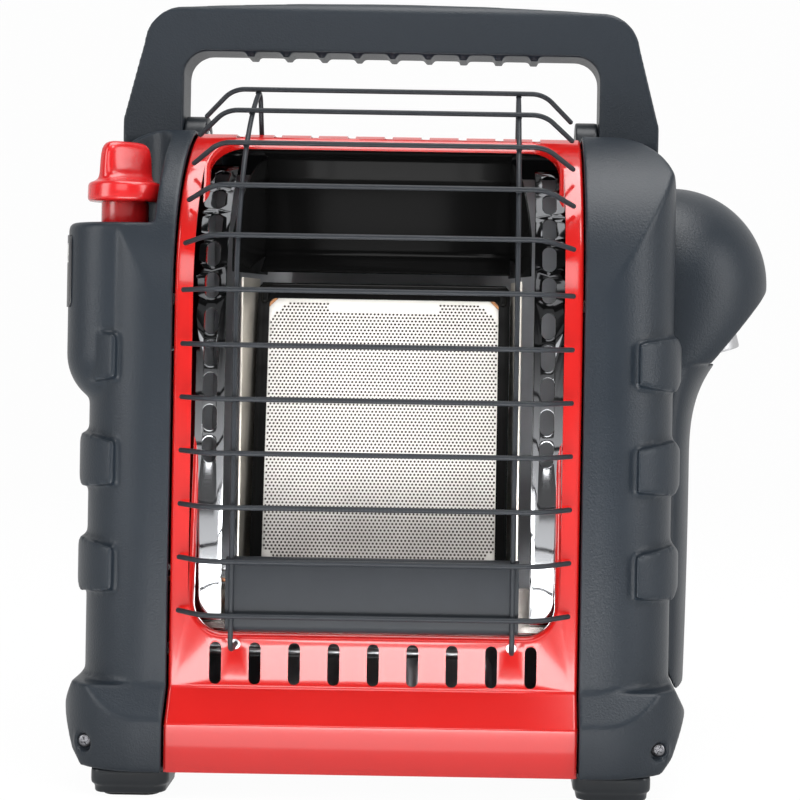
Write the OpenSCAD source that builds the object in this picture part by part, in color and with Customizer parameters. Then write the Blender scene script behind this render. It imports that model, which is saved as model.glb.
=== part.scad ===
// Portable propane heater: a radiant burner behind a wire guard, in a folded steel front
// between two moulded side shells, with a fold-down carry handle, a push-and-turn knob
// and a swivel regulator under a dome on the right.
// X runs right, Y runs back from the front panel, Z runs up from the floor.

/* [Front panel] */
// Half width of the painted front panel
panel_half = 94.5; // [90:0.5:98]
// Sheet thickness of the front panel
panel_t = 1; // [0.8:0.1:1.4]
// Bend radius of the panel's big upper curve
panel_r = 86; // [82:1:90]
// Height of the upper curve, from its start to the panel's top
curve_drop = 80.7; // [78:0.1:83]
// Height of the flat top of the panel
top_z = 311.3; // [309:0.1:312]
// Height of the fold above the lower apron
fold_z = 50; // [48:1:51]
// Height of the apron's front edge, under the fold
apron_z = 35; // [30:1:40]
// How far the apron stands in front of the panel
apron_out = 10; // [6:1:12]
// Width of the panel's band beside the window
window_in = 11; // [9:0.5:14]
// Lower edge of the window
window_z0 = 75.2; // [74:0.2:78]
// Distance of the window's upper edge under the panel's top
window_drop = 6.3; // [5.3:0.1:9]
// Corner radius of the window
window_r = 14; // [8:1:18]
// Depth of the rim turned in round the window
rim_d = 5; // [3:0.5:7]
// Number of vent slots under the window
vent_n = 9; // [5:2:9]
// Spacing of the vent slots
vent_pitch = 18.2; // [16:0.2:19]
// Width of a vent slot
vent_w = 5.5; // [4:0.5:7]
// Length of a vent slot
vent_l = 19.5; // [14:0.5:20]

/* [Guard] */
// Diameter of the guard wire
wire_d = 2.4; // [2:0.1:2.8]
// Distance of the guard's bars in front of the panel
guard_gap = 18; // [17:1:20]
// Bend radius of the guard's upper curve
guard_r = 112; // [110:1:116]
// Number of bars on the straight lower part
bar_low_n = 6; // [5:1:6]
// Spacing of the bars
bar_pitch = 24.5; // [23:0.1:24.5]
// Height of the lowest bar
bar_z0 = 86; // [85:0.5:88]
// Number of bars on the curve
bar_top_n = 6; // [5:1:6]
// Angle between the bars on the curve
bar_step = 12.8; // [12:0.1:13]
// How far a bar's straight middle ends inside the panel's edge
bar_in = 24.5; // [22:0.5:27]
// Bend radius at a bar's ends
bar_bend_r = 14; // [10:1:16]
// Angle of a bar's turned-in ends
bar_bend = 46; // [40:1:48]
// Length of a bar's turned-in ends
bar_end = 13.5; // [11:0.5:14]
// Distance of an upright inside the window's edge
upright_side = 19.8; // [18:0.1:21]
// Height of the holes that take the uprights' feet
foot_hole_z = 70; // [69:0.5:71]
// Radius of the holes that take the guard wire
wire_hole_r = 2.4; // [2:0.1:3]
// Lower edge of the guard plate
plate_z0 = 79.5; // [78.5:0.5:82]
// Upper edge of the guard plate
plate_z1 = 111; // [108:1:114]

/* [Shells] */
// Width of a side shell, from the panel's edge to the body's side
shell_w = 45.5; // [44:0.5:47]
// How far the shells stand in front of the panel
shell_out = 2; // [1:0.5:4]
// Depth from the panel to the back of the shells
body_back = 176; // [174:1:178]
// Wall thickness of the moulded pieces
wall = 2.6; // [2:0.1:3]
// Height of the tops of the shells over the panel's top
shell_rise = 1.7; // [1.4:0.1:3]
// Drop from the shells' tops to the low shoulder that the folded handle lies over
shoulder_drop = 17; // [16:0.5:19]
// Radius of the shells' upright front corners
front_r = 38; // [32:1:42]
// Radius of the shells' upright back corners
back_r = 24; // [16:1:30]
// Radius of the shells' upper outer corners
crown_r = 30; // [24:1:34]
// How far the skirt flares out past the body's side
skirt_flare = 7.5; // [6:0.5:9]
// Height of the shells' lower edge over the floor
body_z = 13; // [12:0.5:15]
// How far the flank stands out past the shell
flank_out = 15.5; // [13:0.5:16]
// Height of a grip pad
pad_h = 26; // [20:1:30]
// Spacing of the grip pads
pad_pitch = 49; // [46:1:52]
// Height of the lowest pad's middle
pad_z = 104; // [100:1:108]
// How far the grip pads stand out
pad_out = 3.6; // [2:0.2:4]

/* [Handle] */
// Height of the handle's top over its pins
handle_rise = 69; // [65:0.5:75]
// Distance of the handle's outer side inside the body's side
handle_in = 5; // [4:0.5:7]
// Width of a leg of the handle
handle_leg = 30.2; // [29:0.1:30.4]
// Height of the handle's bar
handle_bar = 26; // [22:1:30]
// Depth of the handle, front to back
handle_d = 24; // [20:1:26]
// Distance of the handle's pins behind the panel
pivot_y = 85; // [84:0.5:88]
// Height of the handle's pins over the panel's top
pivot_rise = 0.7; // [0:0.1:1.5]
// Radius of the handle's pins
pin_r = 4; // [3:0.5:5]
// Number of grip ribs under the bar
rib_n = 9; // [5:2:11]
// Spacing of the grip ribs
rib_pitch = 17.9; // [14:0.1:18]

/* [Knob] */
// Distance of the knob's axis inside the body's side
knob_in = 16; // [15:0.5:17]
// Distance of the knob's axis behind the panel
knob_y = 30; // [29:0.5:32]
// Radius of the pod under the knob
pod_r = 26; // [25:0.5:27]
// Drop from the shell's top to the ledge that the knob stands on
ledge_drop = 48.5; // [47:0.5:51]
// Radius of the knob's flange
flange_r = 17.7; // [16:0.1:19]
// Radius of the knob's stem
stem_r = 11.2; // [10:0.1:12]
// Travel of the knob when it is pushed
push_travel = 5; // [3:0.5:6]
// Radius of the valve spindle
spindle_r = 3; // [2.5:0.1:3.5]

/* [Burner] */
// Width of the ceramic tile
tile_w = 114; // [108:1:116]
// Height of the ceramic tile
tile_h = 133; // [126:1:134]
// Thickness of the ceramic tile
tile_t = 12; // [10:0.5:14]
// Distance of the tile's lower edge behind the panel
tile_y = 25; // [24:0.5:27]
// Height of the tile's lower edge
tile_z = 100; // [99:0.5:101]
// Angle by which the tile leans back
tile_tilt = 7; // [5:0.5:8]
// Depth of the plenum box behind the tile
plenum_d = 28; // [22:1:32]
// Radius of the venturi tube
venturi_r = 9; // [8:0.5:10]

/* [Regulator] */
// Radius of the regulator's dome
dome_r = 50; // [48:0.5:51]
// Distance of the dome's middle under the shell's top
dome_drop = 71; // [69:0.5:73]
// Distance of the dome's middle behind the panel
dome_y = 105; // [104:0.5:106]
// Distance of the dome's middle outside the body's side
dome_out = 5; // [4:0.5:6]
// Distance of the swivel's axis outside the body's side
swivel_out = 17.5; // [17:0.5:18]
// Height of the swivel's axis over the dome's middle
swivel_rise = 3; // [2:0.5:4]
// Lean of the inlet at rest, from straight down
inlet_lean = 15; // [14:0.5:16]
// Radius of the inlet's threaded bore
inlet_bore_r = 12.2; // [12:0.1:12.4]
// Outer radius of the inlet nut
inlet_r = 14.5; // [14.3:0.1:15]
// Distance of the inlet's tip from the swivel's axis
inlet_reach = 42; // [41:0.5:43]

/* [Hidden] */
$fn = 48;

// clearances
seat = 0.1;
free_gap = 0.3;
pin_fit = 0.05;
slip = 0.05;

// main places, from the panel's width and height
window_half = panel_half - window_in;
window_z1 = top_z - window_drop;
curve_z = top_z - curve_drop;
bar_mid = panel_half - bar_in;
upright_x = window_half - upright_side;
body_half = panel_half + shell_w;
skirt_half = body_half + skirt_flare;
shell_top = top_z + shell_rise;
shoulder_z = shell_top - shoulder_drop;
pivot_z = top_z + pivot_rise;
handle_top = pivot_z + handle_rise;
handle_half = body_half - handle_in;
grip_half = handle_half - handle_leg;
knob_x = body_half - knob_in;
ledge_z = shell_top - ledge_drop;
dome_x = body_half + dome_out;
dome_z = shell_top - dome_drop;
swivel_x = body_half + swivel_out;
swivel_z = dome_z + swivel_rise;

// guard
wire_r = wire_d / 2;
guard_mid_y = guard_r - guard_gap;
upright_y = wire_d + seat - guard_gap;
upright_bend = 5;
upright_in = 7;
upright_arc = 66;
tail_bend = 94;
tail_bend_r = 6;
clip_r = 4;
clip_t = 0.8;
plate_t = 1.2;
plate_half = upright_x + 2.8;

// the guard's tail, from the end of the upright's arc to the panel's top
tail_head = 90 - upright_arc;
tail_y0 = guard_mid_y - (guard_mid_y - upright_y) * cos(upright_arc);
tail_z0 = curve_z + (guard_mid_y - upright_y) * sin(upright_arc);
tail_y1 = tail_y0 + tail_bend_r * (sin(tail_head) + sin(tail_bend - tail_head));
tail_z1 = tail_z0 - tail_bend_r * (cos(tail_head) - cos(tail_bend - tail_head));
tail_drop = tail_z1 - top_z;
tail_hole_y = tail_y1 + tail_drop / tan(tail_bend - tail_head);
tail_l = (tail_drop + panel_t + 4) / sin(tail_bend - tail_head);

// handle
leg_gap = 3;
leg_y0 = pivot_y - handle_d / 2;
leg_y1 = pivot_y + handle_d / 2;
lobe_back = leg_y0 - leg_gap;
bracket_d = handle_d - 2;
bracket_x1 = grip_half - free_gap;
bracket_z0 = shoulder_z - 26;
pin_end = grip_half + 20;

// shells
shell_in = panel_half + 0.5;
shell_r = panel_r + shell_out;
skirt_out = shell_out + apron_out;
notch_wall = 10.5;
notch_back = lobe_back - 12;
panel_back = leg_y0 - 1;
cover_half = panel_half - 0.2;
deck_y1 = pivot_y + handle_top - pivot_z - handle_bar - 6;

// chassis
chassis_x = panel_half - panel_t - 0.5;
chassis_t = 1.2;
inner_half = chassis_x - chassis_t - seat;
chassis_front = 14;
chassis_back = 146;
pan_t = 1.8;
pan_z = body_z + 0.2;
pan_top = pan_z + pan_t;

// knob and valve
stem_gap = 0.6;
stem_z0 = ledge_z - 6.5;
flange_z = ledge_z + 10.5;
flange_t = 9.5;
grip_top = ledge_z + 39.5;
plate_push_t = 2;
collar_t = 2;
push_z = stem_z0 - collar_t - plate_push_t - 4;
valve_top = push_z - 12;
valve_h = 32;
valve_z = valve_top - valve_h;
valve_half = 12;
valve_y0 = 13;
valve_y1 = 48;
piezo_y = valve_y1 + 10;
piezo_r = 5;
plunger_r = 3;

// burner, in its own leaning frame: x across, y into the heater, z up the tile
frame_half = tile_w / 2 + 4;
gasket_t = 0.9;
frame_lip = 1.5;
frame_z0 = -5;
frame_z1 = tile_h + 6;
venturi_x = 20;
venturi_y = tile_t + plenum_d / 2;
jet_drop = 75;
venturi_l = jet_drop - 17;
jet_r = 6;
gas_y = tile_y + venturi_y * cos(tile_tilt) - jet_drop * sin(tile_tilt);
gas_z = tile_z - venturi_y * sin(tile_tilt) - jet_drop * cos(tile_tilt);
pilot_y = 15.5;

// regulator
mouth_lean = 49.3;
mouth_reach = 32;
rim_z = dome_z - 40.5;
flank_z0 = 40;
flank_z1 = 150;
elbow_y = dome_y + 29;
elbow_r = 6;
swivel_pin_r = 5;

// the whole model is centred over the floor
dial_gap = 0.1;
dial_t = 0.6;
mid_x = (dome_x + dome_r - knob_x - pod_r - dial_gap - dial_t) / 2;
mid_y = (body_back - guard_gap - wire_r) / 2;

charcoal = [0.22, 0.25, 0.28];
red_paint = [0.80, 0.10, 0.08];
wire_grey = [0.27, 0.28, 0.30];
steel = [0.75, 0.76, 0.78];
dark_steel = [0.16, 0.16, 0.17];
brass = [0.78, 0.62, 0.30];
cream = [0.90, 0.88, 0.82];
black = [0.06, 0.06, 0.07];

module centred() {
    translate([-mid_x, -mid_y, 0]) children();
}

// a side profile, drawn as (y, z), pulled from x0 to x1
module side_slab(x0, x1) {
    translate([x0, 0, 0]) rotate([90, 0, 90]) linear_extrude(x1 - x0) children();
}

// a front profile, drawn as (x, z), pulled from y0 to y1
module front_slab(y0, y1) {
    translate([0, y1, 0]) rotate([90, 0, 0]) linear_extrude(y1 - y0) children();
}

module plan_slab(z0, z1) {
    translate([0, 0, z0]) linear_extrude(z1 - z0) children();
}

module both_sides() {
    children();
    mirror([1, 0, 0]) children();
}

module rod_x(x0, x1, r) {
    translate([x0, 0, 0]) rotate([0, 90, 0]) cylinder(r = r, h = x1 - x0);
}

module rod_y(y0, y1, r) {
    translate([0, y1, 0]) rotate([90, 0, 0]) cylinder(r = r, h = y1 - y0);
}

module slot_2d(w, l) {
    square([w, l - w], center = true);
    for (s = [-1, 1]) translate([0, s * (l - w) / 2]) circle(w / 2);
}

module rounded_2d(x0, y0, x1, y1, r) {
    translate([x0 + r, y0]) square([x1 - x0 - 2 * r, y1 - y0]);
    translate([x0, y0 + r]) square([x1 - x0, y1 - y0 - 2 * r]);
    for (x = [x0 + r, x1 - r], y = [y0 + r, y1 - r]) translate([x, y]) circle(r);
}

// bent sheet, seen edge on, of thickness t along the points p
module sheet_2d(p, t) {
    for (i = [0:len(p) - 2]) {
        d = p[i + 1] - p[i];
        translate(p[i]) rotate(atan2(d[1], d[0])) translate([0, -t / 2]) square([norm(d), t]);
    }
    if (len(p) > 2) {
        for (i = [1:len(p) - 2]) translate(p[i]) circle(t / 2);
    }
}

// a bent wire or pipe: each step is [straight, bend radius, bend angle, roll before the bend],
// and it starts at the origin, along x, and bends towards y
module bent_rod(r, steps, i = 0) {
    if (i < len(steps)) {
        s = steps[i];
        if (s[0] > 0) rod_x(0, s[0], r);
        if (s[2] == 0) {
            translate([s[0], 0, 0]) bent_rod(r, steps, i + 1);
        } else {
            side = sign(s[2]);
            turn = abs(s[2]);
            translate([s[0], 0, 0]) rotate([s[3], 0, 0]) {
                translate([0, side * s[1], 0])
                    rotate([0, 0, side > 0 ? -90 : 90 - turn])
                        rotate_extrude(angle = turn) translate([s[1], 0]) circle(r);
                translate([s[1] * sin(turn), side * s[1] * (1 - cos(turn)), 0])
                    rotate([0, 0, s[2]]) bent_rod(r, steps, i + 1);
            }
        }
    }
}

// points along a flat bent wire, each [x, y, heading]: steps are [straight, bend radius, bend angle]
function wire_steps(steps, at = [0, 0, 0], i = 0) =
    i == len(steps) ? [at] : let(
        s = steps[i],
        a = at[2],
        p = [at[0] + s[0] * cos(a), at[1] + s[0] * sin(a)],
        side = sign(s[2]),
        c = p + side * s[1] * [-sin(a), cos(a)],
        n = max(1, ceil(abs(s[2]) / 10)),
        arc = s[2] == 0 ? [] : [
            for (k = [0:n]) let(b = a + s[2] * k / n)
                [c[0] + side * s[1] * sin(b), c[1] - side * s[1] * cos(b), b]
        ],
        last = s[2] == 0 ? [p[0], p[1], a] : arc[n]
    ) concat(i == 0 ? [at] : [], s[2] == 0 ? [] : [for (k = [0:n - 1]) arc[k]],
        wire_steps(steps, last, i + 1));

// a flat bent wire with round faces worked out ring by ring, for wire that nothing fits into
module swept_wire(r, path) {
    sides = 12;
    points = [
        for (p = path, k = [0:sides - 1]) let(t = 360 * k / sides)
            [p[0] - sin(p[2]) * r * cos(t), p[1] + cos(p[2]) * r * cos(t), r * sin(t)]
    ];
    last = (len(path) - 1) * sides;
    faces = concat(
        [[for (k = [0:sides - 1]) k]],
        [[for (k = [sides - 1:-1:0]) last + k]],
        [
            for (i = [0:len(path) - 2], k = [0:sides - 1]) let(j = (k + 1) % sides, o = i * sides)
                [o + k, o + sides + k, o + sides + j]
        ],
        [
            for (i = [0:len(path) - 2], k = [0:sides - 1]) let(j = (k + 1) % sides, o = i * sides)
                [o + k, o + sides + j, o + j]
        ]
    );
    polyhedron(points, faces);
}

// inside of the front panel's side profile, d in from its outer face
module panel_2d(d) {
    intersection() {
        union() {
            translate([d, body_z]) square([panel_back - d, curve_z - body_z]);
            translate([panel_r, curve_z]) circle(panel_r - d);
            polygon([
                [d + 1, fold_z + 1], [d, fold_z], [d - apron_out, apron_z],
                [d - apron_out, body_z], [d + 1, body_z]
            ]);
        }
        translate([-apron_out - 1, body_z]) square([panel_back + apron_out + 1, top_z - d - body_z]);
    }
}

module window_2d(grow) {
    rounded_2d(-window_half - grow, window_z0 - grow, window_half + grow, window_z1 + grow,
        window_r + grow);
}

module front_panel() {
    vent_z = fold_z + 1.5 + vent_l / 2;
    top_slot = [4, 15];
    color(red_paint) centred() difference() {
        union() {
            side_slab(-panel_half, panel_half) difference() {
                panel_2d(0);
                panel_2d(panel_t);
            }
            for (x = [-panel_half, panel_half - panel_t]) side_slab(x, x + panel_t) difference() {
                panel_2d(0);
                panel_2d(12);
                translate([panel_t - apron_out, 0]) square([30, pan_top + seat]);
            }
            intersection() {
                side_slab(-window_half - 2, window_half + 2) difference() {
                    panel_2d(panel_t / 2);
                    panel_2d(rim_d);
                }
                front_slab(-1, panel_back) window_2d(panel_t);
            }
        }
        front_slab(-1, panel_back - 14) window_2d(0);
        for (i = [0:vent_n - 1]) {
            x = (i - (vent_n - 1) / 2) * vent_pitch;
            front_slab(-1, 3) translate([x, vent_z]) slot_2d(vent_w, vent_l);
            translate([x - top_slot[0] / 2, tail_hole_y - 12, top_z - 8]) cube([top_slot[0], top_slot[1], 9]);
        }
        for (s = [-1, 1]) {
            translate([s * upright_x, 0, foot_hole_z]) rod_y(-1, 3, wire_hole_r);
            translate([s * upright_x, tail_hole_y, top_z - 3]) cylinder(r = wire_hole_r, h = 4);
        }
    }
}

module guard_bar() {
    x0 = bar_mid + bar_bend_r * sin(bar_bend) + bar_end * cos(bar_bend);
    y0 = bar_bend_r * (1 - cos(bar_bend)) + bar_end * sin(bar_bend);
    translate([-x0, -y0, 0]) rotate([0, 0, bar_bend])
        swept_wire(wire_r, wire_steps([
            [bar_end, bar_bend_r, -bar_bend], [2 * bar_mid, bar_bend_r, -bar_bend], [bar_end, 0, 0]
        ]));
}

module guard_bars() {
    color(wire_grey) centred() {
        for (i = [0:bar_low_n - 1])
            translate([0, -guard_gap, bar_z0 + i * bar_pitch]) rotate([180, 0, 0]) guard_bar();
        for (i = [0:bar_top_n - 1]) {
            a = 1.5 + i * bar_step;
            translate([0, guard_mid_y - guard_r * cos(a), curve_z + guard_r * sin(a)])
                rotate([180 - a, 0, 0]) guard_bar();
        }
    }
}

module guard_uprights() {
    color(wire_grey) centred() for (s = [-1, 1])
        translate([s * upright_x, upright_in, foot_hole_z]) rotate([0, 0, -90]) rotate([90, 0, 0])
            swept_wire(wire_r, wire_steps([
                [upright_in - upright_y - upright_bend, upright_bend, 90],
                [curve_z - foot_hole_z - upright_bend, guard_mid_y - upright_y, upright_arc],
                [0, tail_bend_r, tail_bend], [tail_l, 0, 0]
            ]));
}

module guard_plate() {
    y0 = upright_y + wire_r + seat;
    lip = 4;
    color(wire_grey) centred() side_slab(-plate_half, plate_half) {
        translate([y0, plate_z0]) square([plate_t, plate_z1 - plate_z0]);
        for (z = [plate_z0, plate_z1 - plate_t]) translate([y0, z]) square([lip, plate_t]);
    }
}

module guard_clips() {
    color(steel) centred() for (s = [-1, 1]) translate([s * upright_x, 0, foot_hole_z]) difference() {
        rod_y(panel_t + seat / 2, panel_t + clip_t, clip_r);
        rod_y(0, panel_t + clip_t + 1, wire_r + pin_fit);
    }
}

// plan of a shell with round outer corners, in (x, y)
module corner_plan_2d(x0, x1, y0, y1, rf, rb) {
    intersection() {
        union() {
            translate([x0, y0]) square([x1 - rf - x0, y1 - y0]);
            translate([x1 - rf - 1, y0 + rf]) square([rf + 1, y1 - rb - y0 - rf]);
            translate([x1 - rf, y0 + rf]) circle(rf);
            translate([x1 - rf - 1, y1 - rb - 1]) square([rf + 1 - rb, rb + 1]);
            translate([x1 - rb, y1 - rb]) circle(rb);
        }
        translate([x0, y0]) square([x1 - x0, y1 - y0]);
    }
}

// a shell's main form, d in from its outer faces; the cavity runs out at the inner side and below
module shell_main(d) {
    x0 = d > 0 ? shell_in - 1 : shell_in;
    z0 = d > 0 ? body_z - 1 : body_z;
    x1 = body_half - d;
    y0 = d - shell_out;
    rear_r = 20 - d;
    intersection() {
        side_slab(x0, x1 + 5) {
            intersection() {
                union() {
                    translate([panel_r, curve_z]) circle(shell_r - d);
                    translate([y0, z0]) square([lobe_back - y0, curve_z - z0]);
                }
                translate([y0, z0]) square([lobe_back - d - y0, shell_top - d - z0]);
            }
            translate([lobe_back - d - 1, z0])
                square([body_back - rear_r - lobe_back + 1, shoulder_z - d - z0]);
            translate([body_back - d - rear_r - 1, z0])
                square([rear_r + 1, shoulder_z - d - rear_r - z0]);
            translate([body_back - d - rear_r, shoulder_z - d - rear_r]) circle(rear_r);
        }
        plan_slab(z0 - 5, shell_top + 5)
            corner_plan_2d(x0 - 5, x1, y0 - slip, body_back - d + slip, front_r - d, back_r - d);
        front_slab(y0 - 5, body_back + 5) {
            translate([x0 - 5, z0 - 5]) square([x1 + 10 - x0, shell_top - crown_r - z0 + 5]);
            translate([x0 - 5, z0 - 5]) square([body_half - crown_r - x0 + 5, shell_top - z0 + 10]);
            translate([body_half - crown_r, shell_top - crown_r]) circle(crown_r - d);
        }
    }
}

// the flared skirt at a shell's foot, d in from its outer faces
module shell_skirt(d) {
    x0 = d > 0 ? shell_in - 1 : shell_in;
    z0 = d > 0 ? body_z - 1 : body_z;
    step_z = apron_z + 2;
    intersection() {
        side_slab(x0, skirt_half + 5) polygon([
            [d - shell_out, fold_z + 1 - d / 2], [d - skirt_out, step_z - d / 2], [d - skirt_out, z0],
            [body_back - d, z0], [body_back - d, fold_z + 1 - d / 2]
        ]);
        plan_slab(z0 - 5, fold_z + 5)
            corner_plan_2d(x0 - 5, skirt_half - d, d - skirt_out - slip, body_back - d + slip,
                front_r + 4 - d, back_r - d);
        front_slab(-skirt_out - 5, body_back + 5) polygon([
            [x0 - 5, z0 - 5], [skirt_half - 13.5 - d, z0 - 5], [skirt_half - 13.5 - d, body_z],
            [skirt_half - 8 - d, body_z + 6], [skirt_half - d, step_z], [body_half - 1 - d, fold_z + 4],
            [x0 - 5, fold_z + 4]
        ]);
    }
}

// the pod that carries the knob, d in from its outer faces
module knob_pod(d) {
    r = pod_r - d;
    ball_z = ledge_z - 62;
    edge = 2;
    translate([knob_x, knob_y, ball_z]) {
        sphere(r);
        cylinder(r = r, h = ledge_z - edge - ball_z);
        translate([0, 0, ledge_z - edge - ball_z]) cylinder(r1 = r, r2 = r - edge, h = edge - d / 2);
    }
}

// the corner cut out of the left shell round the knob, grown by d
module knob_notch(d) {
    x0 = shell_in + notch_wall - d;
    r = 14;
    translate([0, 0, ledge_z - d]) linear_extrude(shell_top - ledge_z + d + 1) {
        translate([x0, -50]) square([100, 50 + notch_back + d - r]);
        translate([x0 + r, -50]) square([100 - r, 50 + notch_back + d]);
        translate([x0 + r, notch_back + d - r]) circle(r);
    }
}

// a raised grip pad: a belt round the front outer corner, with sloped upper and lower ends
module grip_pad(z) {
    x1 = body_half + pad_out;
    y0 = -shell_out - pad_out;
    pad_x0 = body_half - 19;
    y1 = 52;
    slope = pad_out + 1;
    intersection() {
        plan_slab(z - pad_h / 2, z + pad_h / 2) difference() {
            corner_plan_2d(pad_x0, x1, y0, y1, front_r + 1, 10);
            corner_plan_2d(pad_x0 - 1, body_half - 1, 1 - shell_out, y1 + 20, front_r - 1, 10);
        }
        front_slab(y0, y1) polygon([
            [pad_x0, z - pad_h / 2 + 3], [body_half, z - pad_h / 2], [x1, z - pad_h / 2 + slope],
            [x1, z + pad_h / 2 - slope], [body_half, z + pad_h / 2], [pad_x0, z + pad_h / 2 - 3]
        ]);
    }
}

screw_x = skirt_half - 15;
screw_z = 24;
screw_y = 1;
screw_boss_l = 12;
screw_shank_r = 1.8;
screw_head_r = 3.5;

// a right-hand shell; left says whether it carries the knob's pod
module side_shell(left) {
    boss_r = 5.5;
    difference() {
        union() {
            difference() {
                union() {
                    shell_main(0);
                    shell_skirt(0);
                    if (left) knob_pod(0);
                }
                difference() {
                    union() {
                        shell_main(wall);
                        shell_skirt(wall);
                        if (left) knob_pod(wall);
                    }
                    if (left) knob_notch(wall);
                }
                if (left) knob_notch(0);
            }
            difference() {
                for (i = [0:2]) grip_pad(pad_z + i * pad_pitch);
                if (left) knob_pod(wall);
            }
            translate([screw_x, 0, screw_z]) rod_y(screw_y, screw_y + screw_boss_l, boss_r);
        }
        translate([screw_x, 0, screw_z]) {
            rod_y(-skirt_out - 1, screw_y + 2, screw_head_r + 0.4);
            rod_y(screw_y, screw_y + screw_boss_l + 1, screw_shank_r + pin_fit);
        }
        translate([shell_in - 1, pivot_y - bracket_d / 2 - free_gap, bracket_z0 - free_gap])
            cube([bracket_x1 + free_gap - shell_in + 1, bracket_d + 2 * free_gap, 60]);
        if (left) {
            translate([knob_x, knob_y, ledge_z - wall - 1]) cylinder(r = stem_r + stem_gap, h = wall + 2);
        } else {
            translate([0, elbow_y, swivel_z]) rod_x(body_half - wall - 1, body_half + 1, elbow_r + seat);
        }
    }
}

module side_shell_left() {
    color(charcoal) centred() mirror([1, 0, 0]) side_shell(true);
}

module side_shell_right() {
    color(charcoal) centred() side_shell(false);
}

// how far the regulator cover reaches right at height z, d in from its outer face
function cover_reach(z, d) =
    z > rim_z ? dome_x + sqrt(max(0, pow(dome_r - d, 2) - pow(z - dome_z, 2)))
    : z > flank_z1 ? body_half + flank_out - d + 15 * pow((z - flank_z1) / (rim_z + 2.5 - flank_z1), 3)
    : body_half + flank_out - d - 1.5 * pow(max(0, flank_z1 - z) / (flank_z1 - flank_z0), 2);

// how far it reaches forward and back at height z
function cover_span(z, d) =
    z > dome_z ? sqrt(max(0, pow(dome_r - d, 2) - pow(z - dome_z, 2))) : dome_r - d;

// a solid of half-ellipse slices between the heights in zs
module cover_form(x0, zs, d) {
    n = 24;
    points = [
        for (z = zs, i = [0:n])
            [
                x0 + (cover_reach(z, d) - x0) * sin(180 * i / n),
                dome_y - max(0.05, cover_span(z, d)) * cos(180 * i / n),
                z
            ]
    ];
    m = n + 1;
    last = (len(zs) - 1) * m;
    faces = concat(
        [[for (i = [0:n]) i]],
        [[for (i = [n:-1:0]) last + i]],
        [for (k = [0:len(zs) - 2], i = [0:n - 1]) [k * m + i, (k + 1) * m + i, (k + 1) * m + i + 1]],
        [for (k = [0:len(zs) - 2], i = [0:n - 1]) [k * m + i, (k + 1) * m + i + 1, k * m + i + 1]],
        [for (k = [0:len(zs) - 2]) [k * m + n, (k + 1) * m + n, (k + 1) * m]],
        [for (k = [0:len(zs) - 2]) [k * m + n, (k + 1) * m, k * m]]
    );
    polyhedron(points, faces);
}

module regulator_cover() {
    top = dome_z + dome_r;
    low = [for (i = [0:4]) flank_z0 + (flank_z1 - flank_z0) * i / 4];
    neck = [for (i = [1:8]) flank_z1 + (rim_z - flank_z1) * i / 8];
    belly = [for (i = [0:5]) rim_z + 0.1 + (dome_z - rim_z - 0.1) * i / 5];
    crown = [for (i = [1:8]) dome_z + dome_r * sin(90 * i / 8)];
    outer = concat(low, neck, belly, crown);
    inner = concat(
        [flank_z0 + wall], [for (z = outer) if (z > flank_z0 + wall && z < top - wall - 0.5) z],
        [top - wall - 0.05]
    );
    x0 = body_half + 0.15;
    big = 8 * dome_r;
    bottle_gap = 0.6;
    color(charcoal) centred() difference() {
        cover_form(x0, outer, 0);
        cover_form(x0 - 1, inner, wall);
        intersection() {
            translate([swivel_x, 0, swivel_z]) rotate([0, -mouth_lean, 0])
                translate([-big / 2, 0, -mouth_reach - big]) cube(big);
            translate([0, 0, rim_z]) cube(big);
        }
        on_swivel() translate([0, 0, -inlet_reach - 60]) cylinder(r = inlet_bore_r + bottle_gap, h = 70);
        front_slab(0, body_back) translate([free_gap + 0.04, 0]) polygon([
            [body_half - 2, fold_z + 6], [skirt_half + 1, apron_z], [skirt_half + 1, 0], [body_half - 2, 0]
        ]);
    }
}

// the rear cover's side profile
louvre_n = 9;
louvre_pitch = 22;
louvre_w = 5;
louvre_l = 44;
rear_screw_x = panel_half - 10.5;
rear_screw_zs = [34, shoulder_z - 34];

module rear_cover() {
    deck_z = top_z - wall / 2;
    step_z = shoulder_z - wall / 2;
    back = body_back - wall / 2;
    r = 18;
    curve = [for (i = [0:6]) [back - r + r * sin(90 * i / 6), step_z - r + r * cos(90 * i / 6)]];
    profile = concat(
        [[panel_back + free_gap, deck_z], [deck_y1, deck_z], [deck_y1, step_z]], curve,
        [[back, body_z]]
    );
    color(charcoal) centred() difference() {
        union() {
            side_slab(-cover_half, cover_half) sheet_2d(profile, wall);
            for (x = [-1, 1], z = rear_screw_zs)
                translate([x * rear_screw_x, 0, z]) rod_y(chassis_back + 0.2, body_back - 1, 6);
        }
        for (i = [0:louvre_n - 1], k = [-1:1])
            translate([k * (louvre_l + 10) - louvre_l / 2, body_back - wall - 1, 64 + i * louvre_pitch])
                cube([louvre_l, wall + 2, louvre_w]);
        for (x = [-1, 1], z = rear_screw_zs) translate([x * rear_screw_x, 0, z]) {
            rod_y(body_back - 2.5, body_back + 1, screw_head_r + 0.4);
            rod_y(chassis_back - 1, body_back, screw_shank_r + pin_fit);
        }
        both_sides() translate([chassis_x - free_gap, pivot_y - bracket_d / 2 - free_gap, bracket_z0])
            cube([20, bracket_d + 2 * free_gap, 60]);
    }
}

pan_half = skirt_half - 17.5;
foot_x0 = body_half - 47;
foot_w = 36;
foot_d = 36;
foot_pad_h = 1.5;

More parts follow.
